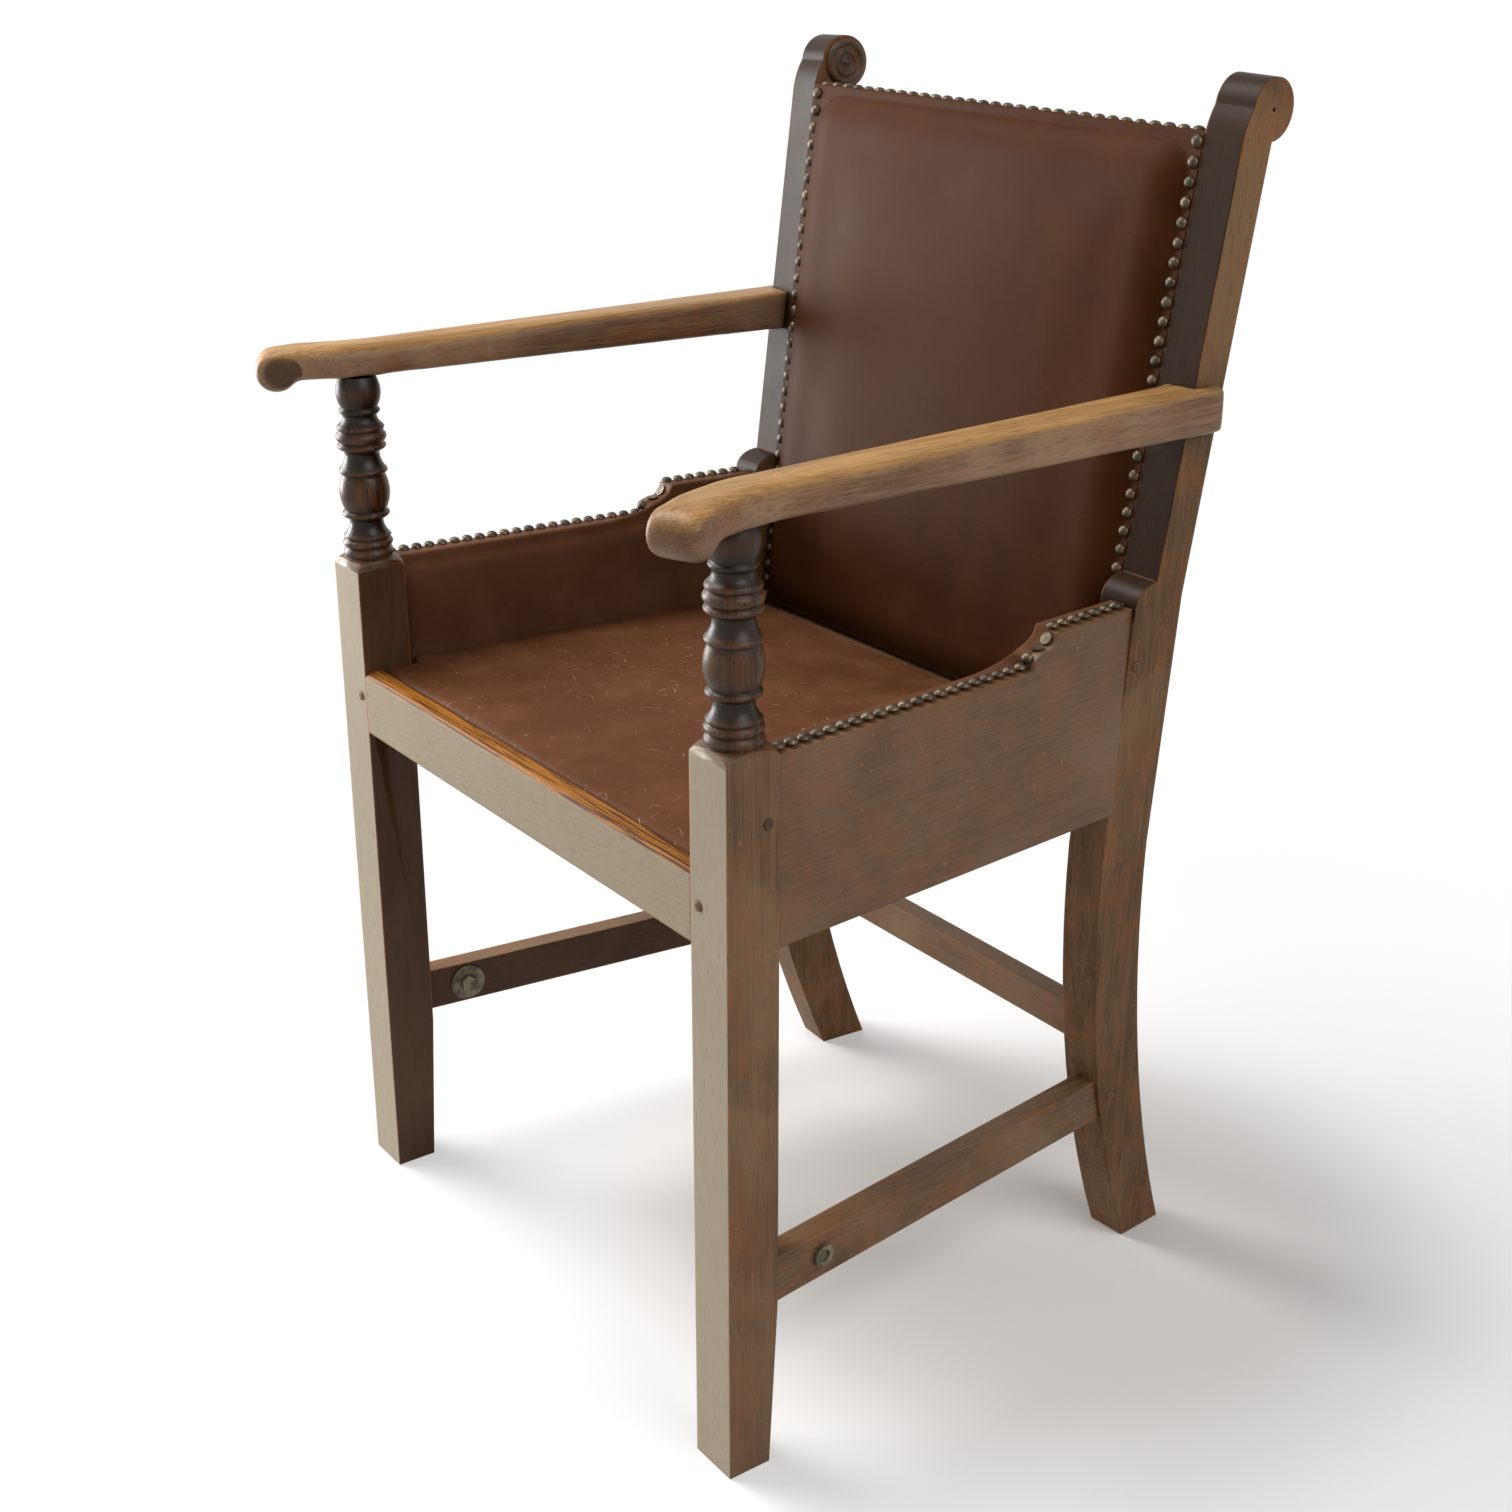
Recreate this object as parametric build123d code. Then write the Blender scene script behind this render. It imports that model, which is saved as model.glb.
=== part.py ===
from build123d import *
from math import cos, hypot, radians, sin, sqrt, tan
import os

# An open-arm chair of oak, with a leather back, leather side linings and a drop-in leather seat.
# Millimetres. +Z is up, the sitter faces -Y, and left is the sitter's left (+X).
# While the pieces are made, Y = 0 is the front face of the front legs and Z = 0 is the floor.

# Front legs
front_width = 541.6
leg_size = 41.0
leg_foot_depth = 34.0
leg_corner_height = 541.0
pommel_rise = 7.0
pommel_middle_radius = 24.3
pommel_middle_rise = 4.9
turning_base_radius = 18.2
turning_pin_radius = 9.0
turning_pin_length = 18.0
# Each turned feature, from the square up: its height, the radius at its middle, the radius at its top.
turned_features = [
    (8.5, 19.4, 18.0),
    (7.0, 19.4, 17.8),
    (17.0, 13.3, 17.4),
    (5.0, 18.4, 15.4),
    (29.0, 19.6, 17.2),
    (8.5, 18.8, 17.0),
    (11.0, 13.7, 17.2),
    (5.5, 19.1, 18.4),
    (9.5, 19.5, 17.6),
    (4.5, 17.9, 16.6),
    (9.0, 13.4, 14.6),
    (4.5, 15.6, 14.4),
    (24.5, 17.4, 14.0),
]

# Seat frame of the chair
seat_rail_top = 458.0
seat_rail_height = 51.0
front_rail_depth = 32.0
front_rail_lip = 14.0
front_rail_nose = 5.0
ledge_height = 424.0
side_angle = 5.0
side_length = 331.0
panel_thickness = 20.0
panel_front_height = 134.0
ogee_start = 233.0
ogee_lower_radius = 12.0
ogee_upper_radius = 11.5
rear_rail_depth = 22.0
rear_rail_setback = 3.0
cleat_width = 20.0

# Rear posts, each one plank from the floor to the scroll
post_thickness = 33.0
post_splay = 2.2
post_seat_depth = 51.0
post_top_depth = 32.0
post_foot_depth = 45.0
post_foot_kick = 73.5
sabre_top_height = 371.0
lower_rake = 3.0
upper_rake = 8.1
shoulder_height = 581.0
shoulder_drop = 15.0
scroll_height = 902.5
scroll_radius = 21.5
scroll_setback = 27.5
roundel_radius = 18.5
roundel_height = 4.0
scroll_hole_radius = 1.6
scroll_hole_depth = 3.0

# Arms: squarer at the post, rounder and thinner at the turned support
arm_rear_top = 719.0
arm_rear_underside = 686.5
arm_rear_width = 38.0
arm_rear_edge = 3.0
arm_lap = 14.0
arm_end_setback = 10.0
arm_front_top = 716.5
arm_front_width = 40.0
arm_front_offset = 4.0
arm_top_edge = 11.0
arm_bottom_edge = 6.0
arm_flare_start = 45.0
arm_flare_radius = 170.0
arm_flare_angle = 23.0
arm_roll_radius = 16.0
arm_roll_width = 38.0
arm_roll_reach = 14.5
arm_roll_drop = 2.0
arm_roll_rim = 6.0

# Stretchers
stretcher_bottom = 131.0
stretcher_height = 36.0
stretcher_thickness = 18.0
stretcher_inset = 3.0
rear_stretcher_bottom = 188.5
rear_stretcher_height = 29.0
rear_stretcher_depth = 17.5
bolt_distance = 45.0
bolt_radius = 4.0
bolt_head_radius = 8.5
bolt_head_height = 3.5
bolt_recess_radius = 4.8
bolt_recess_depth = 2.5
washer_radius = 15.5
washer_thickness = 2.0
nut_radius = 7.5
nut_height = 5.5

# Mortise and tenon joints, and their pegs
tenon_thickness = 10.0
tenon_length = 18.0
rear_tenon_length = 15.0
tenon_shoulder = 6.0
peg_radius = 3.6
peg_length = 28.0
peg_proud = 0.8
stretcher_peg_depth = 12.6

# Leather, padding and webbing
leather = 2.0
webbing = 1.5
hessian = 1.0
webbing_width = 50.0
strap_count = 4

# Upholstered back
back_top_drop = 17.0
back_rail_height = 50.0
back_rail_thickness = 20.0
back_seam = 0.5
back_strip_width = 26.0
back_margin = 11.0
back_crown = 15.0
back_edge_crown = 9.8
back_pad_lift = 5.0

# Side linings
lining_pad = 6.0
lining_margin = 13.6
lining_nail_edge = 6.8
lining_edge = 3.0

# Drop-in seat
seat_gap = 1.3
seat_frame_width = 44.0
seat_tenon_inset = 26.4
seat_frame_thickness = 16.0
seat_crown_rise = 12.0
seat_side_drop = 10.3
seat_edge_radius = 5.0
seat_flange = 16.0

# Upholstery nails
nail_radius = 4.6
nail_height = 2.6
nail_sides = 6
nail_taper = 40.0
back_nail_pitch = 13.8
panel_nail_pitch = 11.0
nail_edge = 5.0
rear_nail_edge = 7.5

# Fits
fit = 0.15

leg_x = front_width / 2 - leg_size / 2
leg_inner_x = front_width / 2 - leg_size
seat_rail_bottom = seat_rail_top - seat_rail_height
panel_front_top = seat_rail_bottom + panel_front_height
panel_rear_top = panel_front_top + ogee_lower_radius + ogee_upper_radius
rear_rail_top = seat_rail_top - tenon_shoulder
seat_crown_height = seat_rail_top + seat_crown_rise
back_top_height = scroll_height - back_top_drop
turning_base = leg_corner_height + pommel_rise
arm_underside = turning_base + sum(feature[0] for feature in turned_features)
stretcher_top = stretcher_bottom + stretcher_height
lining_depth = lining_pad + leather
cutter_reach = leg_size + panel_thickness

phi = radians(side_angle)
splay = radians(post_splay)
along_side = Vector(-sin(phi), cos(phi), 0)
side_out = Vector(cos(phi), sin(phi), 0)

# Outer face of the left panel: x runs back along the side, y is up and z points outward.
side_plane = Plane(origin=(front_width / 2, leg_size, 0), x_dir=along_side, z_dir=side_out)

# Outer face of the left rear post, level with the panel at the middle of the panel's height.
post_level = (seat_rail_bottom + panel_rear_top) / 2
post_origin = side_plane.from_local_coords((side_length, post_level, 0))
post_out = Vector(cos(phi) * cos(splay), sin(phi) * cos(splay), -sin(splay))
post_plane = Plane(origin=post_origin, x_dir=along_side, z_dir=post_out)


def post_rise(height):
    """Distance up the post's own face at a height above the floor."""
    return (height - post_level) / cos(splay)


# Outline of the post on its outer face
sabre_rise = post_rise(sabre_top_height)
foot_rise = post_rise(0)
shoulder_rise = post_rise(shoulder_height)
lower_slope = tan(radians(lower_rake))
upper_slope = tan(radians(upper_rake))
sabre_drop = sabre_rise - foot_rise
front_sabre_radius = (sabre_drop ** 2 + post_foot_kick ** 2) / (2 * post_foot_kick)
sabre_front = sabre_rise * lower_slope
sabre_back = sabre_front + post_seat_depth
back_kick = sabre_front + post_foot_kick + post_foot_depth - sabre_back
back_sabre_radius = (sabre_drop ** 2 + back_kick ** 2) / (2 * back_kick)
bend_rise = shoulder_rise - shoulder_drop
bend_back = bend_rise * lower_slope + post_seat_depth


def upper_front(rise):
    """Front edge of the post above its shoulder."""
    return bend_back + (rise - bend_rise) * upper_slope - post_top_depth


def sabre_edge(rise, top, radius):
    """Edge of the curved rear leg below the seat."""
    drop = sabre_rise - rise
    return top + radius - sqrt(radius ** 2 - drop ** 2)


scroll_rise = post_rise(scroll_height)
scroll_center = (upper_front(scroll_rise) + scroll_setback, scroll_rise)


arm_rise = post_rise((arm_rear_underside + arm_rear_top) / 2)


def mirrored(shape):
    return mirror(shape, about=Plane.YZ)


def slab(plane, outline, start, stop):
    """A flat outline on a plane, given thickness between two distances along the plane's normal."""
    return extrude(plane.offset(start) * outline, amount=stop - start)


def block(plane, low, high):
    """A box between two corners given in a plane's own x, y and z."""
    size = [b - a for a, b in zip(low, high)]
    middle = [(a + b) / 2 for a, b in zip(low, high)]
    return plane.location * Pos(*middle) * Box(*size)


def group(solids):
    """Separate solids that share one name."""
    return Compound(children=list(solids))


# Rear posts

def make_post_blank():
    sink = foot_rise - tenon_length
    middle = (sabre_rise + sink) / 2
    neck_rise = scroll_rise - scroll_radius
    foot_front = (sabre_edge(sink, sabre_front, front_sabre_radius), sink)
    foot_back = (sabre_edge(sink, sabre_back, back_sabre_radius), sink)
    front_middle = (sabre_edge(middle, sabre_front, front_sabre_radius), middle)
    back_middle = (sabre_edge(middle, sabre_back, back_sabre_radius), middle)
    shoulder_start = (bend_rise * lower_slope, bend_rise)
    shoulder_end = (upper_front(shoulder_rise), shoulder_rise)
    step = shoulder_end[0] - shoulder_start[0]
    neck_front = (upper_front(neck_rise), neck_rise)
    neck_back = (neck_front[0] + post_top_depth, neck_rise)
    scroll_top = (scroll_center[0], scroll_rise + scroll_radius)
    edges = [
        Line(foot_back, foot_front),
        ThreePointArc(foot_front, front_middle, (sabre_front, sabre_rise)),
        Line((sabre_front, sabre_rise), shoulder_start),
        EllipticalCenterArc((shoulder_end[0], bend_rise), step, shoulder_drop, 90, arc_size=90),
        Line(shoulder_end, neck_front),
        TangentArc(neck_front, scroll_top, tangent=(upper_slope, 1)),
        Line(scroll_top, scroll_center),
        Line(scroll_center, neck_back),
        Line(neck_back, (bend_back, bend_rise)),
        Line((bend_back, bend_rise), (sabre_back, sabre_rise)),
        ThreePointArc((sabre_back, sabre_rise), back_middle, foot_back),
    ]
    outline = make_face(edges) + Pos(*scroll_center) * Circle(scroll_radius)
    blank = slab(post_plane, outline, -post_thickness, 0)
    return split(blank, bisect_by=Plane.XY, keep=Keep.TOP)


def make_roundel():
    """A turned bullseye on the inner face of the scroll."""
    ring = roundel_radius / 3
    button = ring / 4
    top = roundel_height
    valley = roundel_height / 2
    edges = [
        Line((0, 0), (roundel_radius, 0)),
        Line((roundel_radius, 0), (roundel_radius, valley)),
        ThreePointArc((roundel_radius, valley), (roundel_radius - ring / 2, top), (2 * ring, valley)),
        ThreePointArc((2 * ring, valley), (1.5 * ring, top), (ring, valley)),
        ThreePointArc((ring, valley), (ring / 2, 2 * valley / 3 + top / 3), (button, top)),
        Line((button, top), (0, top)),
        Line((0, top), (0, 0)),
    ]
    turned = revolve(Plane.XZ * make_face(edges), axis=Axis.Z)
    seat = Plane(origin=post_plane.from_local_coords((*scroll_center, -post_thickness)),
                 x_dir=along_side, z_dir=-post_out)
    return seat.location * turned


# Front legs

def make_leg_blank():
    outline = [(0, 0), (leg_foot_depth, 0), (leg_size, stretcher_bottom),
               (leg_size, turning_base), (0, turning_base)]
    side = Plane(origin=(leg_inner_x, 0, 0), x_dir=(0, 1, 0), z_dir=(1, 0, 0))
    square = slab(side, make_face(Polyline(*outline, close=True)), 0, leg_size)
    corner = leg_size / sqrt(2)
    shoulder = [
        Line((0, 0), (corner, 0)),
        Line((corner, 0), (corner, leg_corner_height)),
        ThreePointArc((corner, leg_corner_height),
                      (pommel_middle_radius, leg_corner_height + pommel_middle_rise),
                      (turning_base_radius, turning_base)),
        Line((turning_base_radius, turning_base), (0, turning_base)),
        Line((0, turning_base), (0, 0)),
    ]
    lathe = Plane(origin=(leg_x, leg_size / 2, 0), x_dir=(1, 0, 0), z_dir=(0, -1, 0))
    axis = Axis((leg_x, leg_size / 2, 0), (0, 0, 1))
    return square & revolve(lathe * make_face(shoulder), axis=axis)


def make_turning():
    """The turned arm support and its round pin, above the square of the leg."""
    height = turning_base
    radius = turning_base_radius
    edges = [Line((0, height), (radius, height))]
    for rise, middle_radius, top_radius in turned_features:
        start = (radius, height)
        end = (top_radius, height + rise)
        edges.append(ThreePointArc(start, (middle_radius, height + rise / 2), end))
        height += rise
        radius = top_radius
    pin_top = height + turning_pin_length
    edges += [
        Line((radius, height), (turning_pin_radius, height)),
        Line((turning_pin_radius, height), (turning_pin_radius, pin_top)),
        Line((turning_pin_radius, pin_top), (0, pin_top)),
        Line((0, pin_top), (0, turning_base)),
    ]
    lathe = Plane(origin=(leg_x, leg_size / 2, 0), x_dir=(1, 0, 0), z_dir=(0, -1, 0))
    axis = Axis((leg_x, leg_size / 2, 0), (0, 0, 1))
    return revolve(lathe * make_face(edges), axis=axis)


# Arms

def arm_section(plane, width, low, high, low_edge, high_edge):
    """A rounded section across the arm: x outward, y up."""
    half = width / 2
    return plane * make_face([
        Line((-half + low_edge, low), (half - low_edge, low)),
        RadiusArc((half - low_edge, low), (half, low + low_edge), -low_edge),
        Line((half, low + low_edge), (half, high - high_edge)),
        RadiusArc((half, high - high_edge), (half - high_edge, high), -high_edge),
        Line((half - high_edge, high), (-half + high_edge, high)),
        RadiusArc((-half + high_edge, high), (-half, high - high_edge), -high_edge),
        Line((-half, high - high_edge), (-half, low + low_edge)),
        RadiusArc((-half, low + low_edge), (-half + low_edge, low), -low_edge),
    ])


def make_arm_blank():
    """The arm before it is notched round the post: tapered and rounded, flaring out to a rolled end."""
    rear_depth = upper_front(arm_rise) + post_top_depth - arm_end_setback
    rear = post_plane.from_local_coords((rear_depth, arm_rise, 0))
    rear_point = Vector(rear.X + arm_lap - arm_rear_width / 2, rear.Y, 0)
    front_point = Vector(leg_x + arm_front_offset, arm_flare_start, 0)
    heading = (front_point - rear_point).normalized()
    outward = Vector(-heading.Y, heading.X, 0)
    rear_section = arm_section(Plane(origin=rear_point, x_dir=outward, z_dir=heading), arm_rear_width,
                               arm_rear_underside, arm_rear_top, arm_rear_edge, arm_rear_edge)
    front_plane = Plane(origin=front_point, x_dir=outward, z_dir=heading)
    front_section = arm_section(front_plane, arm_front_width, arm_underside, arm_front_top,
                                arm_bottom_edge, arm_top_edge)
    board = loft([rear_section, front_section], ruled=True)
    pivot = front_point + outward * arm_flare_radius
    flare = revolve(front_section, axis=Axis(pivot, (0, 0, 1)), revolution_arc=arm_flare_angle)
    tip = pivot + (front_point - pivot).rotate(Axis.Z, arm_flare_angle)
    tip_heading = heading.rotate(Axis.Z, arm_flare_angle)
    tip_outward = outward.rotate(Axis.Z, arm_flare_angle)
    tip_section = arm_section(Plane(origin=tip, x_dir=tip_outward, z_dir=tip_heading), arm_front_width,
                              arm_underside, arm_front_top, arm_bottom_edge, arm_top_edge)
    roll_point = tip + tip_heading * arm_roll_reach
    neck_section = arm_section(Plane(origin=roll_point, x_dir=tip_outward, z_dir=tip_heading),
                               arm_roll_width - fit, arm_underside, arm_front_top - arm_roll_drop - fit,
                               arm_bottom_edge, arm_top_edge - arm_roll_drop)
    neck = loft([tip_section, neck_section], ruled=True)
    half = arm_roll_width / 2
    inner = arm_roll_radius - arm_roll_rim
    edges = [
        Line((0, -half), (inner, -half)),
        RadiusArc((inner, -half), (arm_roll_radius, -half + arm_roll_rim), -arm_roll_rim),
        Line((arm_roll_radius, -half + arm_roll_rim), (arm_roll_radius, half - arm_roll_rim)),
        RadiusArc((arm_roll_radius, half - arm_roll_rim), (inner, half), -arm_roll_rim),
        Line((inner, half), (0, half)),
        Line((0, half), (0, -half)),
    ]
    level = arm_front_top - arm_roll_drop - arm_roll_radius
    turned = revolve(make_face(edges), axis=Axis.Y)
    roll_plane = Plane(origin=roll_point + Vector(0, 0, level), x_dir=tip_heading, z_dir=(0, 0, 1))
    roll = roll_plane.location * turned
    return board + flare + neck + roll


# Seat rails, panels and stretchers

def panel_top(lift, start, stop):
    """Edges along the top of a side panel, lifted by a thickness: low, an ogee, then high."""
    low = panel_front_top + lift
    turn = ogee_start + ogee_lower_radius
    middle = (turn - lift, panel_front_top + ogee_lower_radius)
    high_start = (turn + ogee_upper_radius, panel_rear_top + lift)
    return [
        Line((start, low), (ogee_start, low)),
        RadiusArc((ogee_start, low), middle, ogee_lower_radius - lift),
        RadiusArc(middle, high_start, -(ogee_upper_radius + lift)),
        Line(high_start, (stop, panel_rear_top + lift)),
    ]


def panel_outline(lift, start, stop, bottom):
    edges = panel_top(lift, start, stop)
    edges += [
        Line((stop, panel_rear_top + lift), (stop, bottom)),
        Line((stop, bottom), (start, bottom)),
        Line((start, bottom), (start, panel_front_top + lift)),
    ]
    return make_face(edges)


def post_side_cutter():
    """Everything behind the front face of the left post, over the height of the panel."""
    reach = post_seat_depth + post_foot_kick
    low = post_rise(seat_rail_bottom) - tenon_length
    high = shoulder_rise
    outline = [(low * lower_slope, low), (low * lower_slope + reach, low),
               (high * lower_slope + reach, high), (high * lower_slope, high)]
    return slab(post_plane, make_face(Polyline(*outline, close=True)), -cutter_reach, cutter_reach)


def arm_notch():
    """Room in the arm for the post: from the post's front face back, and inward from its outer face."""
    low = post_rise(arm_rear_underside - post_thickness)
    high = post_rise(arm_rear_top + post_thickness)
    reach = post_seat_depth + post_top_depth
    outline = [(upper_front(low), low), (upper_front(low) + reach, low),
               (upper_front(high) + reach, high), (upper_front(high), high)]
    return slab(post_plane, make_face(Polyline(*outline, close=True)), -cutter_reach, 0)


def cylinder_from(origin, direction, radius, length):
    seat = Plane(origin=origin, z_dir=direction)
    return seat.location * Cylinder(radius, length, align=(Align.CENTER, Align.CENTER, Align.MIN))


def peg_at(face_point, outward):
    """A wooden peg, a little proud of the face that it is driven through."""
    outward = Vector(*outward)
    start = face_point + outward * peg_proud
    return cylinder_from(start, -outward, peg_radius, peg_length + peg_proud)


post_blank = make_post_blank()
leg_blank = make_leg_blank()
turning = make_turning()

# Side panel with a tenon at each end
panel_middle = -panel_thickness / 2
panel_board = slab(side_plane, panel_outline(0, 0, side_length + tenon_length, seat_rail_bottom),
                   -panel_thickness, 0)
panel_board -= leg_blank
panel_board -= post_side_cutter()
panel_tenon_low = seat_rail_bottom + 2 * tenon_shoulder
panel_tenon_in = panel_middle - tenon_thickness / 2
panel_tenon_out = panel_middle + tenon_thickness / 2
panel_front_tenon = block(side_plane, (-tenon_length, panel_tenon_low, panel_tenon_in),
                          (tenon_shoulder, panel_front_top - 2 * tenon_shoulder, panel_tenon_out))
panel_rear_tenon = block(side_plane,
                         (side_length - 2 * tenon_shoulder, panel_tenon_low, panel_tenon_in),
                         (side_length + tenon_length, panel_rear_top - 2 * tenon_shoulder,
                          panel_tenon_out))
panel = panel_board + panel_front_tenon + panel_rear_tenon

# Front rail with a rebate for the drop-in seat
rail_tenon_back = front_rail_lip - tenon_shoulder / 4
rail_section = make_face([
    Line((0, seat_rail_bottom), (front_rail_depth, seat_rail_bottom)),
    Line((front_rail_depth, seat_rail_bottom), (front_rail_depth, ledge_height)),
    Line((front_rail_depth, ledge_height), (front_rail_lip, ledge_height)),
    Line((front_rail_lip, ledge_height), (front_rail_lip, seat_rail_top)),
    Line((front_rail_lip, seat_rail_top), (front_rail_nose, seat_rail_top)),
    RadiusArc((front_rail_nose, seat_rail_top), (0, seat_rail_top - front_rail_nose), -front_rail_nose),
    Line((0, seat_rail_top - front_rail_nose), (0, seat_rail_bottom)),
])
rail_plane = Plane(origin=(0, 0, 0), x_dir=(0, 1, 0), z_dir=(1, 0, 0))
front_rail = slab(rail_plane, rail_section, -leg_inner_x, leg_inner_x)
front_rail_tenon = block(Plane.XY, (leg_inner_x - tenon_shoulder, rail_tenon_back - tenon_thickness,
                                    seat_rail_bottom + tenon_shoulder),
                         (leg_inner_x + tenon_length, rail_tenon_back, seat_rail_top - tenon_shoulder))
front_rail += front_rail_tenon + mirrored(front_rail_tenon)

# Rear seat rail between the posts
ledge_rise = post_rise(ledge_height)
rear_inner_corner = post_plane.from_local_coords((ledge_rise * lower_slope, ledge_rise, -post_thickness))
rear_rail_front = rear_inner_corner.Y + rear_rail_setback + post_thickness * sin(phi)


def between_posts(shape):
    return shape - post_blank - mirrored(post_blank)


def rail_between_posts(plane, half, low, high, tenon_low, tenon_high):
    """A rail cut to the posts' inner faces, and the bar whose two ends are its tenons."""
    board = between_posts(block(plane, (-half, *low), (half, *high)))
    tenons = block(plane, (-half, *tenon_low), (half, *tenon_high))
    return board + tenons, tenons


rear_rail_middle = rear_rail_front + rear_rail_depth / 2
rear_half = rear_inner_corner.X + rear_tenon_length
rear_rail, rear_rail_tenons = rail_between_posts(
    Plane.XY, rear_half,
    (rear_rail_front, seat_rail_bottom),
    (rear_rail_front + rear_rail_depth, rear_rail_top),
    (rear_rail_middle - tenon_thickness / 2, seat_rail_bottom + tenon_shoulder),
    (rear_rail_middle + tenon_thickness / 2, rear_rail_top - tenon_shoulder))

# Rear stretcher
rear_stretcher_level = rear_stretcher_bottom + rear_stretcher_height / 2
stretcher_rise = post_rise(rear_stretcher_level)
rear_leg_front = sabre_edge(stretcher_rise, sabre_front, front_sabre_radius)
rear_leg_back = sabre_edge(stretcher_rise, sabre_back, back_sabre_radius)
rear_leg_inner = post_plane.from_local_coords(
    ((rear_leg_front + rear_leg_back) / 2, stretcher_rise, -post_thickness))
rear_stretcher_y = rear_leg_inner.Y
rear_stretcher, rear_stretcher_tenons = rail_between_posts(
    Plane.XY, rear_leg_inner.X + rear_tenon_length,
    (rear_stretcher_y - rear_stretcher_depth / 2, rear_stretcher_bottom),
    (rear_stretcher_y + rear_stretcher_depth / 2, rear_stretcher_bottom + rear_stretcher_height),
    (rear_stretcher_y - tenon_thickness / 2, rear_stretcher_bottom + tenon_shoulder),
    (rear_stretcher_y + tenon_thickness / 2,
     rear_stretcher_bottom + rear_stretcher_height - tenon_shoulder))

# Side stretcher, from the front leg to the curved rear leg
side_level = stretcher_bottom + stretcher_height / 2
side_rise = post_rise(side_level)
stretcher_start = Vector(front_width / 2 - stretcher_inset, leg_size, 0)
stretcher_end = post_plane.from_local_coords(
    (sabre_edge(side_rise, sabre_front, front_sabre_radius), side_rise, -stretcher_inset))
stretcher_run = Vector(stretcher_end.X - stretcher_start.X, stretcher_end.Y - stretcher_start.Y, 0)
stretcher_length = stretcher_run.length
stretcher_run = stretcher_run.normalized()
stretcher_out = Vector(stretcher_run.Y, -stretcher_run.X, 0)
stretcher_plane = Plane(origin=stretcher_start, x_dir=stretcher_run, z_dir=stretcher_out)
stretcher_tenon_out = (tenon_thickness - stretcher_thickness) / 2
side_stretcher = block(stretcher_plane, (0, stretcher_bottom, -stretcher_thickness),
                       (stretcher_length + tenon_length, stretcher_top, 0))
side_stretcher -= leg_blank
side_stretcher -= post_blank
stretcher_tenon_low = stretcher_bottom + tenon_shoulder
stretcher_tenon_high = stretcher_top - tenon_shoulder
stretcher_front_tenon = block(stretcher_plane,
                              (-tenon_length, stretcher_tenon_low, stretcher_tenon_out - tenon_thickness),
                              (tenon_shoulder, stretcher_tenon_high, stretcher_tenon_out))
stretcher_rear_tenon = block(stretcher_plane,
                             (stretcher_length - 2 * tenon_shoulder, stretcher_tenon_low,
                              stretcher_tenon_out - tenon_thickness),
                             (stretcher_length + tenon_length, stretcher_tenon_high, stretcher_tenon_out))
side_stretcher += stretcher_front_tenon + stretcher_rear_tenon

# Bolt, washer and nut through the front of each side stretcher
bolt_center = stretcher_plane.from_local_coords((bolt_distance, side_level, 0))
bolt_span = stretcher_thickness + washer_thickness + nut_height
bolt = cylinder_from(bolt_center, -stretcher_out, bolt_radius, bolt_span)
bolt += cylinder_from(bolt_center, stretcher_out, bolt_head_radius, bolt_head_height)
recess_floor = bolt_center + stretcher_out * (bolt_head_height - bolt_recess_depth)
bolt -= cylinder_from(recess_floor, stretcher_out, bolt_recess_radius, bolt_recess_depth)
bolt_bore = cylinder_from(bolt_center, -stretcher_out, bolt_radius + fit, bolt_span)
side_stretcher -= bolt_bore
washer_face = bolt_center - stretcher_out * stretcher_thickness
washer = cylinder_from(washer_face, -stretcher_out, washer_radius, washer_thickness) - bolt_bore
nut_plane = Plane(origin=washer_face - stretcher_out * washer_thickness,
                  x_dir=(0, 0, 1), z_dir=-stretcher_out)
nut = slab(nut_plane, RegularPolygon(nut_radius, 6), 0, nut_height) - bolt_bore

# Upholstered back: rails and nailing strips between the posts, on the plane of their inner front edges
neck_rise = scroll_rise - scroll_radius
edge_low = post_plane.from_local_coords((upper_front(shoulder_rise), shoulder_rise, -post_thickness))
edge_high = post_plane.from_local_coords((upper_front(neck_rise), neck_rise, -post_thickness))
edge_run = (edge_high - edge_low).normalized()
back_up = Vector(0, edge_run.Y, edge_run.Z).normalized()
back_normal = Vector(0, -back_up.Z, back_up.Y)
back_plane = Plane(origin=(0, edge_low.Y, edge_low.Z), x_dir=(1, 0, 0), z_dir=back_normal)


def back_rise(height):
    """Distance up the plane of the back at a height above the floor."""
    return (height - edge_low.Z) / back_up.Z


def back_half(rise):
    """Half the width between the posts at a distance up the plane of the back."""
    return edge_low.X + rise * (edge_run.X / hypot(edge_run.Y, edge_run.Z))


def back_outline(low, high, inset):
    low_half = back_half(low) - inset
    high_half = back_half(high) - inset
    return make_face(Polyline((-low_half, low), (low_half, low), (high_half, high), (-high_half, high),
                              close=True))


strip_front = -leather - hessian
back_rail_front = strip_front - webbing
back_rail_rear = back_rail_front - back_rail_thickness
rear_face = back_rail_rear - leather
back_low = back_rise(rear_rail_top + back_seam - rear_face * back_normal.Z)
back_high = back_rise(back_top_height)
back_tenon_front = back_rail_front - (back_rail_thickness - tenon_thickness) / 2


def back_rail(low, high):
    half = back_half((low + high) / 2) + rear_tenon_length
    return rail_between_posts(back_plane, half, (low, back_rail_rear), (high, back_rail_front),
                              (low + tenon_shoulder, back_tenon_front - tenon_thickness),
                              (high - tenon_shoulder, back_tenon_front))


back_top_rail, back_top_tenons = back_rail(back_high - back_rail_height, back_high)
back_bottom_rail, back_bottom_tenons = back_rail(back_low, back_low + back_rail_height)

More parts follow.
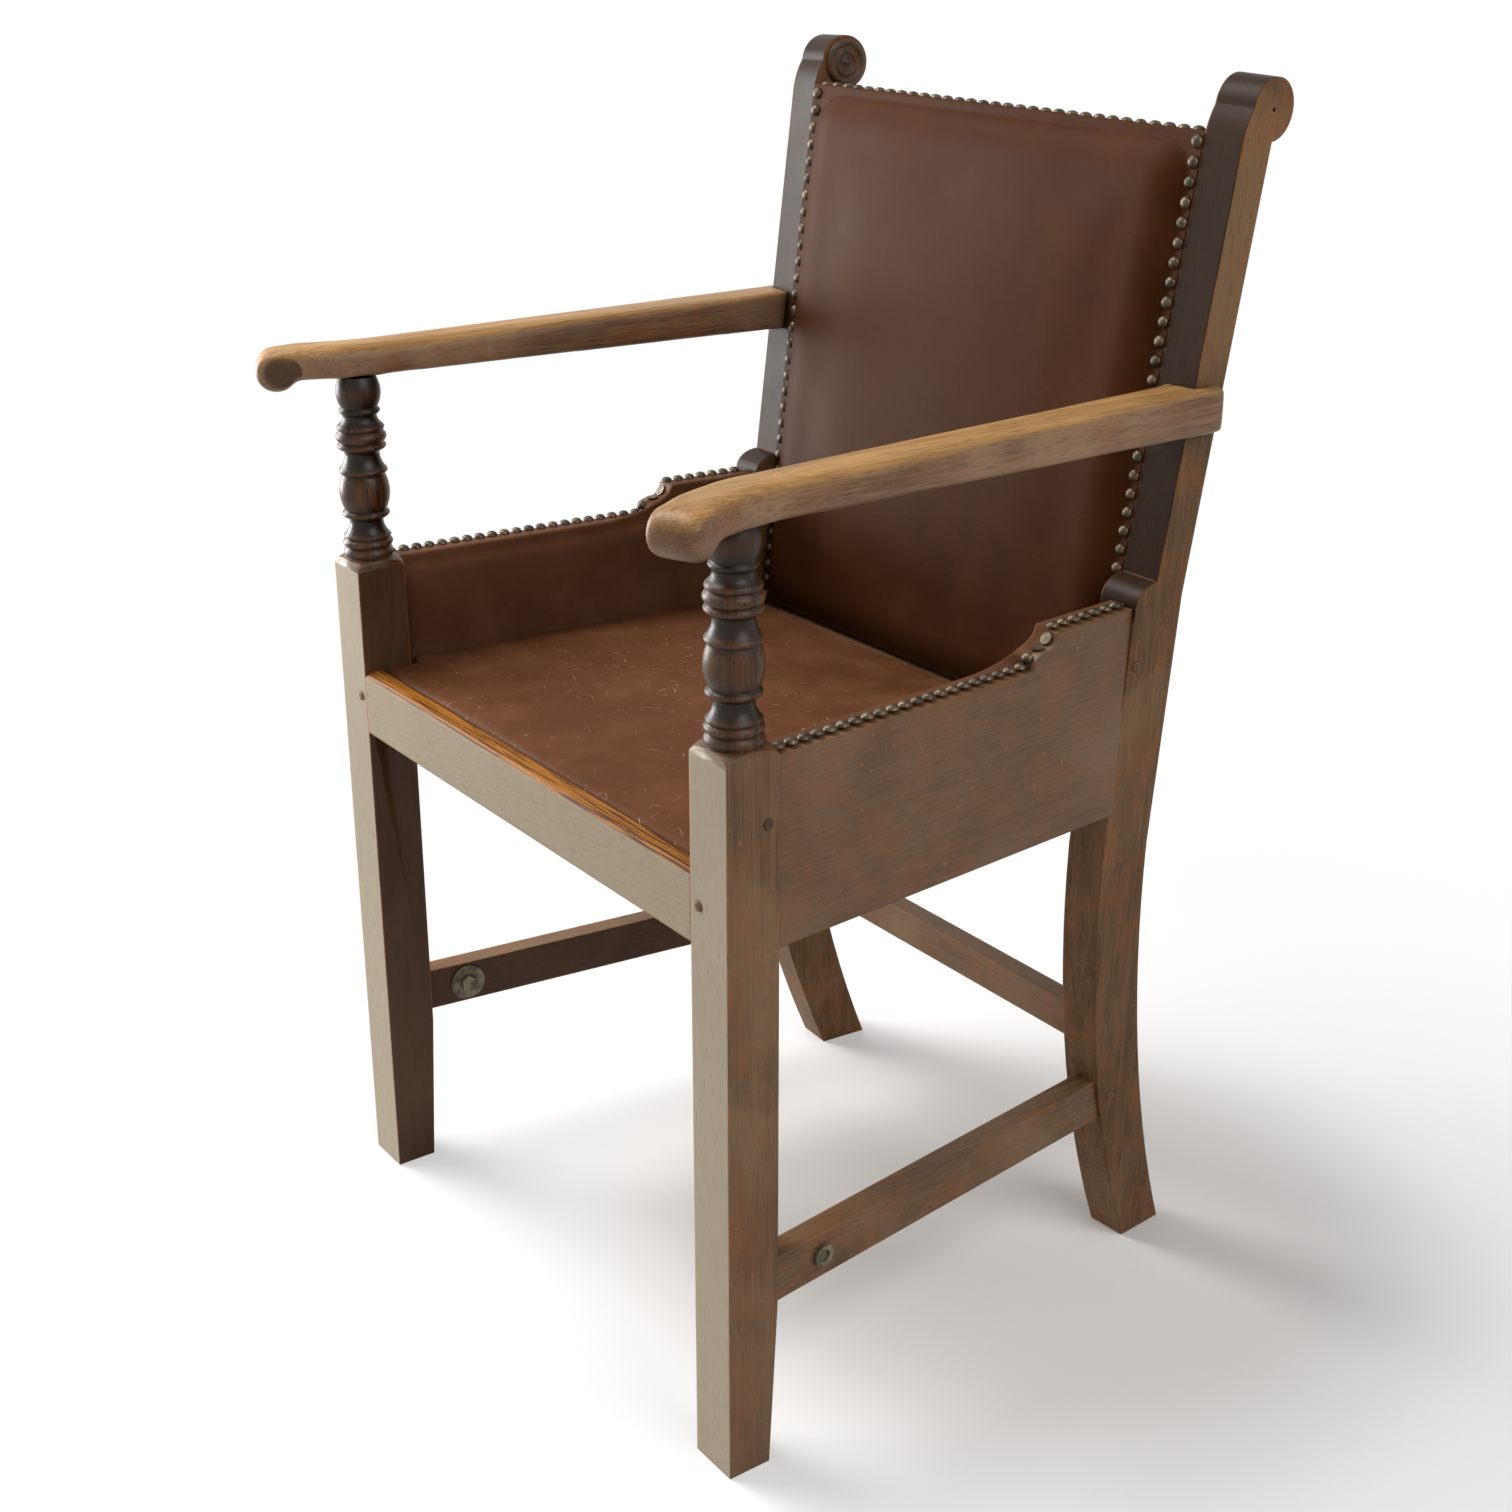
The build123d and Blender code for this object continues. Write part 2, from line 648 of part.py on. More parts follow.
strip_low = back_low + back_rail_height
strip_high = back_high - back_rail_height
strip_outline = make_face(Polyline(
    (back_half(strip_low) - back_strip_width, strip_low),
    (back_half(strip_low) + tenon_length, strip_low),
    (back_half(strip_high) + tenon_length, strip_high),
    (back_half(strip_high) - back_strip_width, strip_high),
    close=True))
back_strip = slab(back_plane, strip_outline, back_rail_rear, strip_front) - post_blank

# Front leather of the back over a crowned pad
back_middle = (back_low + back_high) / 2
back_reach = back_half(back_middle) - back_margin
back_fall = back_crown - back_edge_crown
back_ball = (back_reach ** 2 + back_fall ** 2) / (2 * back_fall)
pad_low = back_low + back_pad_lift
pad_high = back_high - back_margin / 2


def back_crowned(inset, base, lower):
    """The swelling of the back: its outline inside the nails, under one very large ball."""
    outline = back_outline(pad_low + inset, pad_high - inset, back_margin + inset)
    prism = slab(back_plane, outline, base, 3 * back_crown)
    ball_center = back_plane.from_local_coords((0, back_middle, back_crown - lower - back_ball))
    return prism & Pos(*ball_center) * Sphere(back_ball)


back_pad = back_crowned(leather, -leather, leather)
back_leather = slab(back_plane, back_outline(back_low, back_high + leather, 0), -leather, 0)
back_leather += back_crowned(0, -leather / 2, 0)
back_leather -= back_pad
back_leather += slab(back_plane, back_outline(back_high, back_high + leather, 0), rear_face, 0)
back_leather = between_posts(back_leather)
back_hessian = slab(back_plane, back_outline(back_low, back_high, 0), strip_front, -leather)
back_hessian = between_posts(back_hessian)
outside_leather = between_posts(slab(back_plane, back_outline(back_low, back_high, 0),
                                     rear_face, back_rail_rear))

strap_room = 2 * (back_half(strip_low) - back_strip_width)
strap_step = strap_room / strap_count
back_straps = []
for index in range(strap_count):
    strap_x = strap_step * (index + 0.5) - strap_room / 2
    back_straps.append(block(back_plane, (strap_x - webbing_width / 2, back_low, back_rail_front),
                             (strap_x + webbing_width / 2, back_high, strip_front)))

# Side lining: leather over a thin pad, wrapped over the top of the panel
lining_low = ledge_height
lining_stop = side_length + tenon_length


def inset_panel(inset, low):
    """The panel's outline, drawn in for the swelling of the lining."""
    return panel_outline(-inset, inset, side_length - inset, low)


lining_filling = slab(side_plane, inset_panel(lining_margin, lining_low + leather),
                      -panel_thickness - lining_pad, -panel_thickness)
lining_swell = slab(side_plane, inset_panel(lining_margin - leather, lining_low),
                    -panel_thickness - lining_depth, -panel_thickness)
lining = slab(side_plane, panel_outline(leather, 0, lining_stop, lining_low),
              -panel_thickness - leather, -lining_edge)
lining -= panel_board
lining += lining_swell
lining -= lining_filling
lining -= leg_blank
lining -= post_side_cutter()

# Cleats that carry the drop-in seat
side_cleat = block(side_plane, (0, seat_rail_bottom, -panel_thickness - cleat_width),
                   (side_length + tenon_length, ledge_height, -panel_thickness))
side_cleat -= leg_blank
side_cleat -= post_side_cutter()
rear_cleat = block(Plane.XY, (-rear_half, rear_rail_front - cleat_width, seat_rail_bottom),
                   (rear_half, rear_rail_front, ledge_height))
rear_cleat = between_posts(rear_cleat - side_cleat - mirrored(side_cleat))
rear_cleat = rear_cleat.solids().sort_by(SortBy.VOLUME)[-1]

# Drop-in seat: outline in plan, notched round the legs
lining_line = panel_thickness + lining_depth


def lining_x(y):
    """Half the width between the side linings at a distance from the front."""
    return front_width / 2 - lining_line * cos(phi) - (y - leg_size + lining_line * sin(phi)) * tan(phi)


seat_front = front_rail_lip + seat_gap
seat_shoulder = leg_size + seat_gap
seat_rear = rear_inner_corner.Y - seat_gap


def seat_outline(inset):
    half = [
        (leg_inner_x - seat_gap - inset, seat_front + inset),
        (leg_inner_x - seat_gap - inset, seat_shoulder + inset),
        (lining_x(seat_shoulder) - seat_gap - inset, seat_shoulder + inset),
        (lining_x(seat_rear) - seat_gap - inset, seat_rear - inset),
    ]
    other = [(-x, y) for x, y in reversed(half)]
    return make_face(Polyline(*half, *other, close=True))


seat_middle = (seat_front + seat_rear) / 2
seat_reach = lining_x(seat_middle) - seat_gap
seat_ball = (seat_reach ** 2 + seat_side_drop ** 2) / (2 * seat_side_drop)


def seat_crowned(inset, base, lower):
    """The swelling of the seat: its outline under one very large ball."""
    prism = slab(Plane.XY, seat_outline(inset), base, seat_crown_height + seat_side_drop)
    ball = Pos(0, seat_middle, seat_crown_height - lower - seat_ball) * Sphere(seat_ball)
    return prism & ball


seat_frame_low = ledge_height + leather
seat_frame_high = seat_frame_low + seat_frame_thickness
seat_hessian_low = seat_frame_high + 2 * webbing
seat_stuffing_low = seat_hessian_low + hessian
opening_low = seat_front + seat_frame_width
opening_high = seat_rear - seat_frame_width
opening_front_half = lining_x(opening_low) - seat_frame_width
opening_rear_half = lining_x(opening_high) - seat_frame_width
seat_opening = make_face(Polyline(
    (opening_front_half, opening_low), (opening_rear_half, opening_high),
    (-opening_rear_half, opening_high), (-opening_front_half, opening_low), close=True))

seat_body = seat_crowned(0, ledge_height, 0)
seat_body = fillet(seat_body.faces().sort_by(Axis.Z)[-1].edges(), seat_edge_radius)
seat_filling = seat_crowned(leather, seat_frame_low, leather)
seat_leather = seat_body - seat_filling
seat_leather -= slab(Plane.XY, seat_outline(seat_flange), ledge_height, seat_frame_low)
seat_stuffing = seat_filling & block(Plane.XY, (-front_width, 0, seat_stuffing_low),
                                     (front_width, 2 * seat_middle, 2 * seat_crown_height))
seat_hessian = slab(Plane.XY, seat_outline(leather), seat_hessian_low, seat_stuffing_low)
seat_ring = slab(Plane.XY, seat_outline(leather), seat_frame_low, seat_frame_high)
seat_ring -= slab(Plane.XY, seat_opening, seat_frame_low, seat_frame_high)
far = 2 * front_width
front_part = block(Plane.XY, (-far, -far, 0), (far, opening_low, far))
rear_part = block(Plane.XY, (-far, opening_high, 0), (far, far, far))
left_part = block(Plane.XY, (0, opening_low, 0), (far, opening_high, far))
seat_frame_front = seat_ring & front_part
seat_frame_rear = seat_ring & rear_part
seat_frame_side = seat_ring & left_part
seat_tenon_z = (seat_frame_low + seat_frame_high) / 2
seat_tenon = seat_frame_thickness / 3


def seat_frame_tenon(y, reach):
    center = lining_x(y) - seat_tenon_inset
    return block(Plane.XY, (center - tenon_length / 2, min(y, y + reach), seat_tenon_z - seat_tenon / 2),
                 (center + tenon_length / 2, max(y, y + reach), seat_tenon_z + seat_tenon / 2))


seat_side_tenons = seat_frame_tenon(opening_low, -tenon_length)
seat_side_tenons += seat_frame_tenon(opening_high, tenon_length)
seat_frame_side += seat_side_tenons
both_tenons = seat_side_tenons + mirrored(seat_side_tenons)
seat_frame_front -= both_tenons
seat_frame_rear -= both_tenons

cross_straps = []
cross_step = (seat_rear - seat_front - 2 * leather) / strap_count
for index in range(strap_count):
    strap_y = seat_front + leather + cross_step * (index + 0.5)
    strap_reach = lining_x(strap_y + webbing_width / 2) - seat_frame_width / 2
    cross_straps.append(block(Plane.XY, (-strap_reach, strap_y - webbing_width / 2, seat_frame_high),
                              (strap_reach, strap_y + webbing_width / 2, seat_frame_high + webbing)))
long_straps = []
long_step = 2 * (lining_x(opening_high) - seat_frame_width) / strap_count
for index in range(strap_count):
    strap_x = long_step * (index + 0.5 - strap_count / 2)
    strap_low = (strap_x - webbing_width / 2, seat_front + seat_frame_width / 2, seat_frame_high + webbing)
    strap_high = (strap_x + webbing_width / 2, seat_rear - seat_frame_width / 2, seat_hessian_low)
    long_straps.append(block(Plane.XY, strap_low, strap_high))

# Arms, notched round the posts, tenoned into them and sitting on the turned supports
arm = make_arm_blank() - arm_notch() - turning
arm_meets_post = upper_front(arm_rise)
arm_tenon = block(post_plane,
                  (arm_meets_post - tenon_shoulder, arm_rise - tenon_length / 2, -2 * tenon_thickness),
                  (arm_meets_post + tenon_length, arm_rise + tenon_length / 2, -tenon_thickness))
arm += arm_tenon

# Pegs: front rail, panel to leg, panel to post, stretcher to post
rail_peg_height = ledge_height + 2 * tenon_shoulder
rail_peg = peg_at(Vector(leg_inner_x + tenon_length / 2, 0, rail_peg_height), (0, -1, 0))
panel_peg_height = panel_front_top - panel_front_height / 3
panel_leg_peg = peg_at(Vector(front_width / 2, leg_size - tenon_length / 2, panel_peg_height), (1, 0, 0))
panel_peg_rise = post_rise(panel_rear_top - panel_front_height / 3)
panel_post_peg = peg_at(post_plane.from_local_coords(
    (panel_peg_rise * lower_slope + tenon_length / 2, panel_peg_rise, 0)), post_out)
stretcher_peg = peg_at(post_plane.from_local_coords(
    (sabre_edge(side_rise, sabre_front, front_sabre_radius) + stretcher_peg_depth, side_rise, 0)), post_out)
pegs = [rail_peg, panel_leg_peg, panel_post_peg, stretcher_peg]

# Mortises and peg holes
front_leg = leg_blank + turning
for cut in [panel_front_tenon, front_rail_tenon, stretcher_front_tenon, rail_peg, panel_leg_peg]:
    front_leg -= cut
rear_post = post_blank
for cut in [panel_rear_tenon, rear_rail_tenons, rear_stretcher_tenons, stretcher_rear_tenon,
            back_top_tenons, back_bottom_tenons, arm_tenon, panel_post_peg, stretcher_peg]:
    rear_post -= cut
rear_post -= cylinder_from(post_plane.from_local_coords((*scroll_center, 0)), -post_out,
                           scroll_hole_radius, scroll_hole_depth)
panel = panel - panel_leg_peg - panel_post_peg
side_stretcher -= stretcher_peg
front_rail = front_rail - rail_peg - mirrored(rail_peg)

# Upholstery nails

def nail_on(point, outward):
    seat = Plane(origin=point, z_dir=outward)
    head = extrude(RegularPolygon(nail_radius, nail_sides), amount=nail_height, taper=nail_taper)
    return seat.location * head


def evenly(start, stop, pitch):
    """Places from start to stop at the nearest whole number of steps."""
    steps = max(1, round((stop - start) / pitch))
    return [start + (stop - start) * index / steps for index in range(steps + 1)]


side_nails = []
for rise in evenly(back_low + nail_edge, back_high - nail_edge, back_nail_pitch):
    foot = back_plane.from_local_coords((back_half(rise) - nail_edge, rise, 0))
    side_nails.append(nail_on(foot, back_normal))
top_half = back_half(back_high) - 2 * nail_edge
top_nails = []
for x in evenly(-top_half, top_half, back_nail_pitch):
    foot = back_plane.from_local_coords((x, back_high + leather, -nail_edge))
    top_nails.append(nail_on(foot, back_up))
rear_nails = []
for rise in evenly(back_low + nail_edge, back_high - 2 * nail_edge, 2 * back_nail_pitch):
    for side in (-1, 1):
        x = side * (back_half(rise) - rear_nail_edge)
        rear_nails.append(nail_on(back_plane.from_local_coords((x, rise, rear_face)), -back_normal))
for x in evenly(-top_half, top_half, 2 * back_nail_pitch)[1:-1]:
    for rise in (back_low + nail_edge, back_high - 2 * nail_edge):
        rear_nails.append(nail_on(back_plane.from_local_coords((x, rise, rear_face)), -back_normal))

panel_path = Wire(panel_top(leather, nail_edge, side_length - nail_edge))
panel_nails = []
for place in evenly(0, panel_path.length, panel_nail_pitch):
    spot = panel_path.position_at(place, position_mode=PositionMode.LENGTH)
    run = panel_path.tangent_at(place, position_mode=PositionMode.LENGTH)
    foot = side_plane.from_local_coords((spot.X, spot.Y, -lining_edge - nail_edge))
    lift = along_side * -run.Y + Vector(0, 0, run.X)
    nail = nail_on(foot, lift)
    if abs(spot.X - ogee_start - ogee_lower_radius) < 2 * ogee_lower_radius:
        nail = nail - lining - panel_board
    panel_nails.append(nail)
for height in evenly(seat_rail_top + nail_radius, panel_front_top - 2 * nail_edge, panel_nail_pitch):
    foot = side_plane.from_local_coords((lining_nail_edge, height, -panel_thickness - leather))
    panel_nails.append(nail_on(foot, -side_out))

nodes = {
    "front_rail": front_rail,
    "rear_seat_rail": rear_rail,
    "rear_stretcher": rear_stretcher,
    "rear_cleat": rear_cleat,
    "back_top_rail": back_top_rail,
    "back_bottom_rail": back_bottom_rail,
    "back_webbing": group(back_straps),
    "back_hessian": back_hessian,
    "back_stuffing": back_pad,
    "back_leather": back_leather,
    "outside_back_leather": outside_leather,
    "back_top_nails": group(top_nails),
    "outside_back_nails": group(rear_nails),
    "seat_frame_front": seat_frame_front,
    "seat_frame_rear": seat_frame_rear,
    "seat_cross_webbing": group(cross_straps),
    "seat_long_webbing": group(long_straps),
    "seat_hessian": seat_hessian,
    "seat_stuffing": seat_stuffing,
    "seat_leather": seat_leather,
    "stretcher_bolts": group([bolt, mirrored(bolt)]),
    "stretcher_washers": group([washer, mirrored(washer)]),
    "stretcher_nuts": group([nut, mirrored(nut)]),
}
left_nodes = {
    "front_leg": front_leg,
    "rear_post": rear_post,
    "scroll_roundel": make_roundel(),
    "arm": arm,
    "side_panel": panel,
    "side_stretcher": side_stretcher,
    "side_cleat": side_cleat,
    "back_nailing_strip": back_strip,
    "side_lining_pad": lining_filling,
    "side_lining_leather": lining,
    "seat_frame_side": seat_frame_side,
    "joint_pegs": group(pegs),
    "back_side_nails": group(side_nails),
    "panel_nails": group(panel_nails),
}
for name, shape in left_nodes.items():
    nodes[name + "_left"] = shape
    nodes[name + "_right"] = group([mirrored(solid) for solid in shape.solids()])

# The origin goes to the middle of the footprint, on the floor.
box = group(nodes.values()).bounding_box()
shift = Pos(0, -(box.min.Y + box.max.Y) / 2, 0)
print("moved by", -(box.min.Y + box.max.Y) / 2)
os.makedirs("parts", exist_ok=True)
for name, shape in nodes.items():
    export_step(shift * group(shape.solids()), f"parts/{name}.step")
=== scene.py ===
import math
import random

import bmesh
import bpy
from mathutils import Matrix, Vector, bvhtree, kdtree, noise


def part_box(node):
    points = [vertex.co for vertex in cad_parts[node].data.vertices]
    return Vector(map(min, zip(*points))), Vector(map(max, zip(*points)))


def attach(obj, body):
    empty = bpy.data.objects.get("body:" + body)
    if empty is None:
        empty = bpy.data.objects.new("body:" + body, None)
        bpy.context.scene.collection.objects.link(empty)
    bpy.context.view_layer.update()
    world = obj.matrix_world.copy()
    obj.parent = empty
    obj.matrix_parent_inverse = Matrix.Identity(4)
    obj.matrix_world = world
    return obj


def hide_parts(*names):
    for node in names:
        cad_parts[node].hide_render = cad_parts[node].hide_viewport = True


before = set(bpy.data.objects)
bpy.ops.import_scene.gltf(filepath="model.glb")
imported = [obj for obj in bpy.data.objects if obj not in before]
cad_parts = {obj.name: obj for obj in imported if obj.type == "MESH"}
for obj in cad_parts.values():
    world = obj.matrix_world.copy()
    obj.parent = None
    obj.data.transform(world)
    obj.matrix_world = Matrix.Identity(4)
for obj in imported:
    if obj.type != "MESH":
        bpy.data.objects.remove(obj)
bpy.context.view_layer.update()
random.seed(11)
print("chair loaded,", len(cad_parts), "nodes")

scene = bpy.context.scene
scene.view_settings.view_transform = "Standard"
mm = 0.001
samePoint = 0.01 * mm  # corners of a CAD mesh closer than this are one


def hexColor(code):
    # sRGB hex to the linear numbers that a shader takes
    parts = [int(code[i:i + 2], 16) / 255 for i in (1, 3, 5)]
    return tuple(p / 12.92 if p <= 0.04045 else ((p + 0.055) / 1.055) ** 2.4 for p in parts) + (1.0,)


def addNode(tree, kind, settings=None, inputs=None):
    # a node given as an input stands for its first output, a hex code for its colour
    node = tree.nodes.new("ShaderNode" + kind)
    for key, value in (settings or {}).items():
        setattr(node, key, value)
    for key, value in (inputs or {}).items():
        if isinstance(value, bpy.types.Node):
            value = value.outputs[0]
        if isinstance(value, bpy.types.NodeSocket):
            tree.links.new(value, node.inputs[key])
        else:
            node.inputs[key].default_value = hexColor(value) if isinstance(value, str) else value
    return node


def newMaterial(name):
    material = bpy.data.materials.new(name)
    material.use_nodes = True
    tree = material.node_tree
    return material, tree, tree.nodes["Principled BSDF"]


def deselectAll():
    if bpy.context.object and bpy.context.object.mode != "OBJECT":
        bpy.ops.object.mode_set(mode="OBJECT")
    bpy.ops.object.select_all(action="DESELECT")


def makeActive(piece):
    deselectAll()
    piece.select_set(True)
    bpy.context.view_layer.objects.active = piece


def applyModifier(piece, kind, settings):
    makeActive(piece)
    modifier = piece.modifiers.new(kind.lower(), kind)
    for key, value in settings.items():
        setattr(modifier, key, value)
    bpy.ops.object.modifier_apply(modifier=modifier.name)


def dress(piece, material):
    piece.data.materials.clear()
    piece.data.materials.append(material)


def finishPiece(piece, angle, material, body, nodes):
    if angle:
        makeActive(piece)
        bpy.ops.object.shade_smooth_by_angle(angle=math.radians(angle))
    dress(piece, material)
    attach(piece, body)
    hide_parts(*nodes)


def mergePoints(piece, reach):
    makeActive(piece)
    bpy.ops.object.mode_set(mode="EDIT")
    bpy.ops.mesh.select_all(action="SELECT")
    bpy.ops.mesh.remove_doubles(threshold=reach)
    bpy.ops.object.mode_set(mode="OBJECT")


def joinPieces(pieces, name):
    deselectAll()
    for piece in pieces:
        piece.select_set(True)
    bpy.context.view_layer.objects.active = pieces[0]
    bpy.ops.object.join()
    bpy.context.object.name = name
    return bpy.context.object


smooth = {"interpolation_type": "SMOOTHSTEP"}
colors = {"data_type": "RGBA"}
times = {"operation": "MULTIPLY"}
minus = {"operation": "SUBTRACT"}

# Oak: sawn, fumed and stained dark, waxed over many years. Long fine grain with dark pores, a brown that
# drifts a little redder and paler, a broad waxy shine, and edges that hands have rubbed back to orange wood.
oakLook = {
    "grainWidth": 9, "grainLength": 170, "streakWidth": 1.7, "streakLength": 70,
    "poreWidth": 0.9, "poreLength": 13,  # pores drawn coarse enough to show
    "patchSize": 130, "stainSize": 38, "speckSize": 4.2, "edgeRadius": 2.4,
    "deep": "#4a361f", "middle": "#684b32", "pale": "#7a5f43", "red": "#7a4829",
    "pore": "#2b1d13", "edge": "#a3622f", "speck": "#8f5836",
    "redShare": 0.4, "edgeShare": 0.8, "speckShare": 0.6, "poreShare": 0.5,
    "roughLow": 0.38, "roughHigh": 0.52, "coat": 0.05, "coatRough": 0.3, "ior": 1.28,
}


def makeOak(name, grainAxis, changes=None, zone=None):
    look = {**oakLook, **(changes or {})}
    material, tree, shader = newMaterial(name)
    place = addNode(tree, "TexCoord").outputs["Object"]
    wood = {}
    for part, detail in (("grain", 4.0), ("streak", 3.0), ("pore", 2.0)):
        scale = [1000 / look[part + "Width"]] * 3
        scale[grainAxis] = 1000 / look[part + "Length"]
        spread = addNode(tree, "Mapping", {}, {"Vector": place, "Scale": scale})
        wood[part] = addNode(tree, "TexNoise", {}, {
            "Vector": spread, "Scale": 1.0, "Detail": detail, "Distortion": 0.35}).outputs[0]
    for part, detail in (("patch", 3.0), ("stain", 4.0), ("speck", 2.0)):
        wood[part] = addNode(tree, "TexNoise", {}, {
            "Vector": place, "Scale": 1000 / look[part + "Size"], "Detail": detail, "Distortion": 0.6}).outputs[0]
    blend = addNode(tree, "Math", {"operation": "MULTIPLY_ADD"}, {0: wood["grain"], 1: 0.8, 2: wood["streak"]})
    tone = addNode(tree, "MapRange", {}, {"Value": blend, "From Min": 0.68, "From Max": 1.12})
    wood["tone"] = tone.outputs[0]
    base = addNode(tree, "Mix", colors, {
        0: wood["tone"], 6: look["deep"], 7: look["middle"]})
    paler = addNode(tree, "MapRange", smooth, {
        "Value": wood["patch"], "From Min": 0.38, "From Max": 0.68, "To Max": 0.7})
    patched = addNode(tree, "Mix", colors, {
        0: paler, 6: base.outputs[2], 7: look["pale"]})
    redder = addNode(tree, "MapRange", smooth, {
        "Value": wood["stain"], "From Min": 0.46, "From Max": 0.7, "To Max": look["redShare"]})
    stained = addNode(tree, "Mix", colors, {
        0: redder, 6: patched.outputs[2], 7: look["red"]})
    face = addNode(tree, "NewGeometry").outputs["Normal"]
    facing = addNode(tree, "SeparateXYZ", {}, {"Vector": face})
    spot = addNode(tree, "SeparateXYZ", {}, {"Vector": place})
    wood.update(face=facing.outputs, spot=spot.outputs)
    # small knocks through the stain, then what is particular to a piece, then the rubbed edges
    knocks = addNode(tree, "MapRange", {}, {
        "Value": wood["speck"], "From Min": 0.66, "From Max": 0.73, "To Max": look["speckShare"]})
    knocked = addNode(tree, "Mix", colors, {
        0: knocks, 6: stained.outputs[2], 7: look["speck"]})
    color = zone(tree, knocked.outputs[2], wood) if zone else knocked.outputs[2]
    bevel = addNode(tree, "Bevel", {"samples": 6}, {"Radius": look["edgeRadius"] * mm})
    turned = addNode(tree, "VectorMath", {"operation": "DOT_PRODUCT"}, {0: bevel, 1: face})
    edge = addNode(tree, "MapRange", smooth, {
        "Value": turned.outputs["Value"], "From Min": 0.99, "From Max": 0.84, "To Max": look["edgeShare"]})
    worn = addNode(tree, "MapRange", smooth, {"Value": wood["stain"], "From Min": 0.36, "From Max": 0.6})
    rubbed = addNode(tree, "Math", times, {0: edge, 1: worn})
    if "unworn" in wood:
        rubbed = addNode(tree, "Math", {"operation": "SUBTRACT", "use_clamp": True}, {
            0: rubbed, 1: wood["unworn"]})
    edged = addNode(tree, "Mix", colors, {
        0: rubbed, 6: color, 7: look["edge"]})
    pores = addNode(tree, "MapRange", {}, {
        "Value": wood["pore"], "From Min": 0.57, "From Max": 0.7, "To Max": look["poreShare"]})
    pored = addNode(tree, "Mix", colors, {0: pores, 6: edged.outputs[2], 7: look["pore"]})
    rough = addNode(tree, "MapRange", {}, {
        "Value": wood["patch"], "From Min": 0.3, "From Max": 0.7,
        "To Min": look["roughLow"], "To Max": look["roughHigh"]})
    relief = addNode(tree, "Math", minus, {0: wood["tone"], 1: pores})
    bump = addNode(tree, "Bump", {}, {
        "Strength": 0.2, "Distance": 0.25 * mm, "Height": relief, "Normal": bevel})
    tree.links.new(pored.outputs[2], shader.inputs["Base Color"])
    tree.links.new(rough.outputs[0], shader.inputs["Roughness"])
    tree.links.new(bump.outputs[0], shader.inputs["Normal"])
    tree.links.new(bevel.outputs[0], shader.inputs["Coat Normal"])
    shader.inputs["IOR"].default_value = look["ior"]
    shader.inputs["Coat Weight"].default_value = look["coat"]
    shader.inputs["Coat Roughness"].default_value = look["coatRough"]
    return material


# Front faces of legs and rail made paler: mostly a painted sheen standing in for glare off the wax, with some old wax
# dust.
frontDustAndSheen = {"color": "#9c917c", "share": 0.78}


def frontDustAndSheenFaces(tree, color, wood):
    # faces to the front paled: painted sheen, partly wax dust
    front = addNode(tree, "MapRange", smooth, {
        "Value": wood["face"]["Y"], "From Min": -0.55, "From Max": -0.95, "To Max": frontDustAndSheen["share"]})
    return addNode(tree, "Mix", colors, {
        0: front, 6: color, 7: frontDustAndSheen["color"]}).outputs[2]


# Faces turned in under the seat are darkened: painted shade where the chair shades itself.
innerShade = {"color": "#32190d", "share": 0.72}


def innerShadeFaces(tree, color, wood):
    outer = addNode(tree, "Math", {"operation": "SIGN"}, {0: wood["spot"]["X"]})
    outward = addNode(tree, "Math", times, {0: wood["face"]["X"], 1: outer})
    # faces that point in towards the chair darkened: painted shade
    inner = addNode(tree, "MapRange", smooth, {
        "Value": outward, "From Min": -0.6, "From Max": -0.9, "To Max": innerShade["share"]})
    return addNode(tree, "Mix", colors, {
        0: inner, 6: color, 7: innerShade["color"]}).outputs[2]


# Above the square the leg is turned: the wax is dark there, black in the hollows from old wax and painted shade, and
# rubbed on the rings.
turnedPart = {"from": 543 * mm, "to": 551 * mm, "deep": "#22130a", "pale": "#56351c", "hollow": "#100905",
              "share": 0.92, "hollowAt": 15.5 * mm, "ringAt": 19.2 * mm,
              "axis": [(low + high) / 2 for low, high in zip(*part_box("front_leg_left"))]}


def legZones(tree, color, wood):
    color = innerShadeFaces(tree, frontDustAndSheenFaces(tree, color, wood), wood)
    above = addNode(tree, "MapRange", smooth, {
        "Value": wood["spot"]["Z"], "From Min": turnedPart["from"], "From Max": turnedPart["to"],
        "To Max": turnedPart["share"]})
    wood["unworn"] = above.outputs[0]
    grained = addNode(tree, "Mix", colors, {
        0: wood["tone"], 6: turnedPart["deep"], 7: turnedPart["pale"]})
    aside = addNode(tree, "Math", {"operation": "ABSOLUTE"}, {0: wood["spot"]["X"]})
    across = addNode(tree, "Math", minus, {0: aside, 1: turnedPart["axis"][0]})
    along = addNode(tree, "Math", minus, {0: wood["spot"]["Y"], 1: turnedPart["axis"][1]})
    arm = addNode(tree, "CombineXYZ", {}, {0: across, 1: along})
    radius = addNode(tree, "VectorMath", {"operation": "LENGTH"}, {0: arm})
    # the hollows between the rings go nearly black: old wax and painted shade
    proud = addNode(tree, "MapRange", smooth, {
        "Value": radius.outputs["Value"], "From Min": turnedPart["hollowAt"], "From Max": turnedPart["ringAt"]})
    dark = addNode(tree, "Mix", colors, {
        0: proud, 6: turnedPart["hollow"], 7: grained.outputs[2]})
    return addNode(tree, "Mix", colors, {0: above, 6: color, 7: dark.outputs[2]}).outputs[2]


# The rail's top edge, rubbed bare by legs: orange oak with strong dark grain.
railTop = {"deep": "#472408", "pale": "#965f22", "share": 0.97}


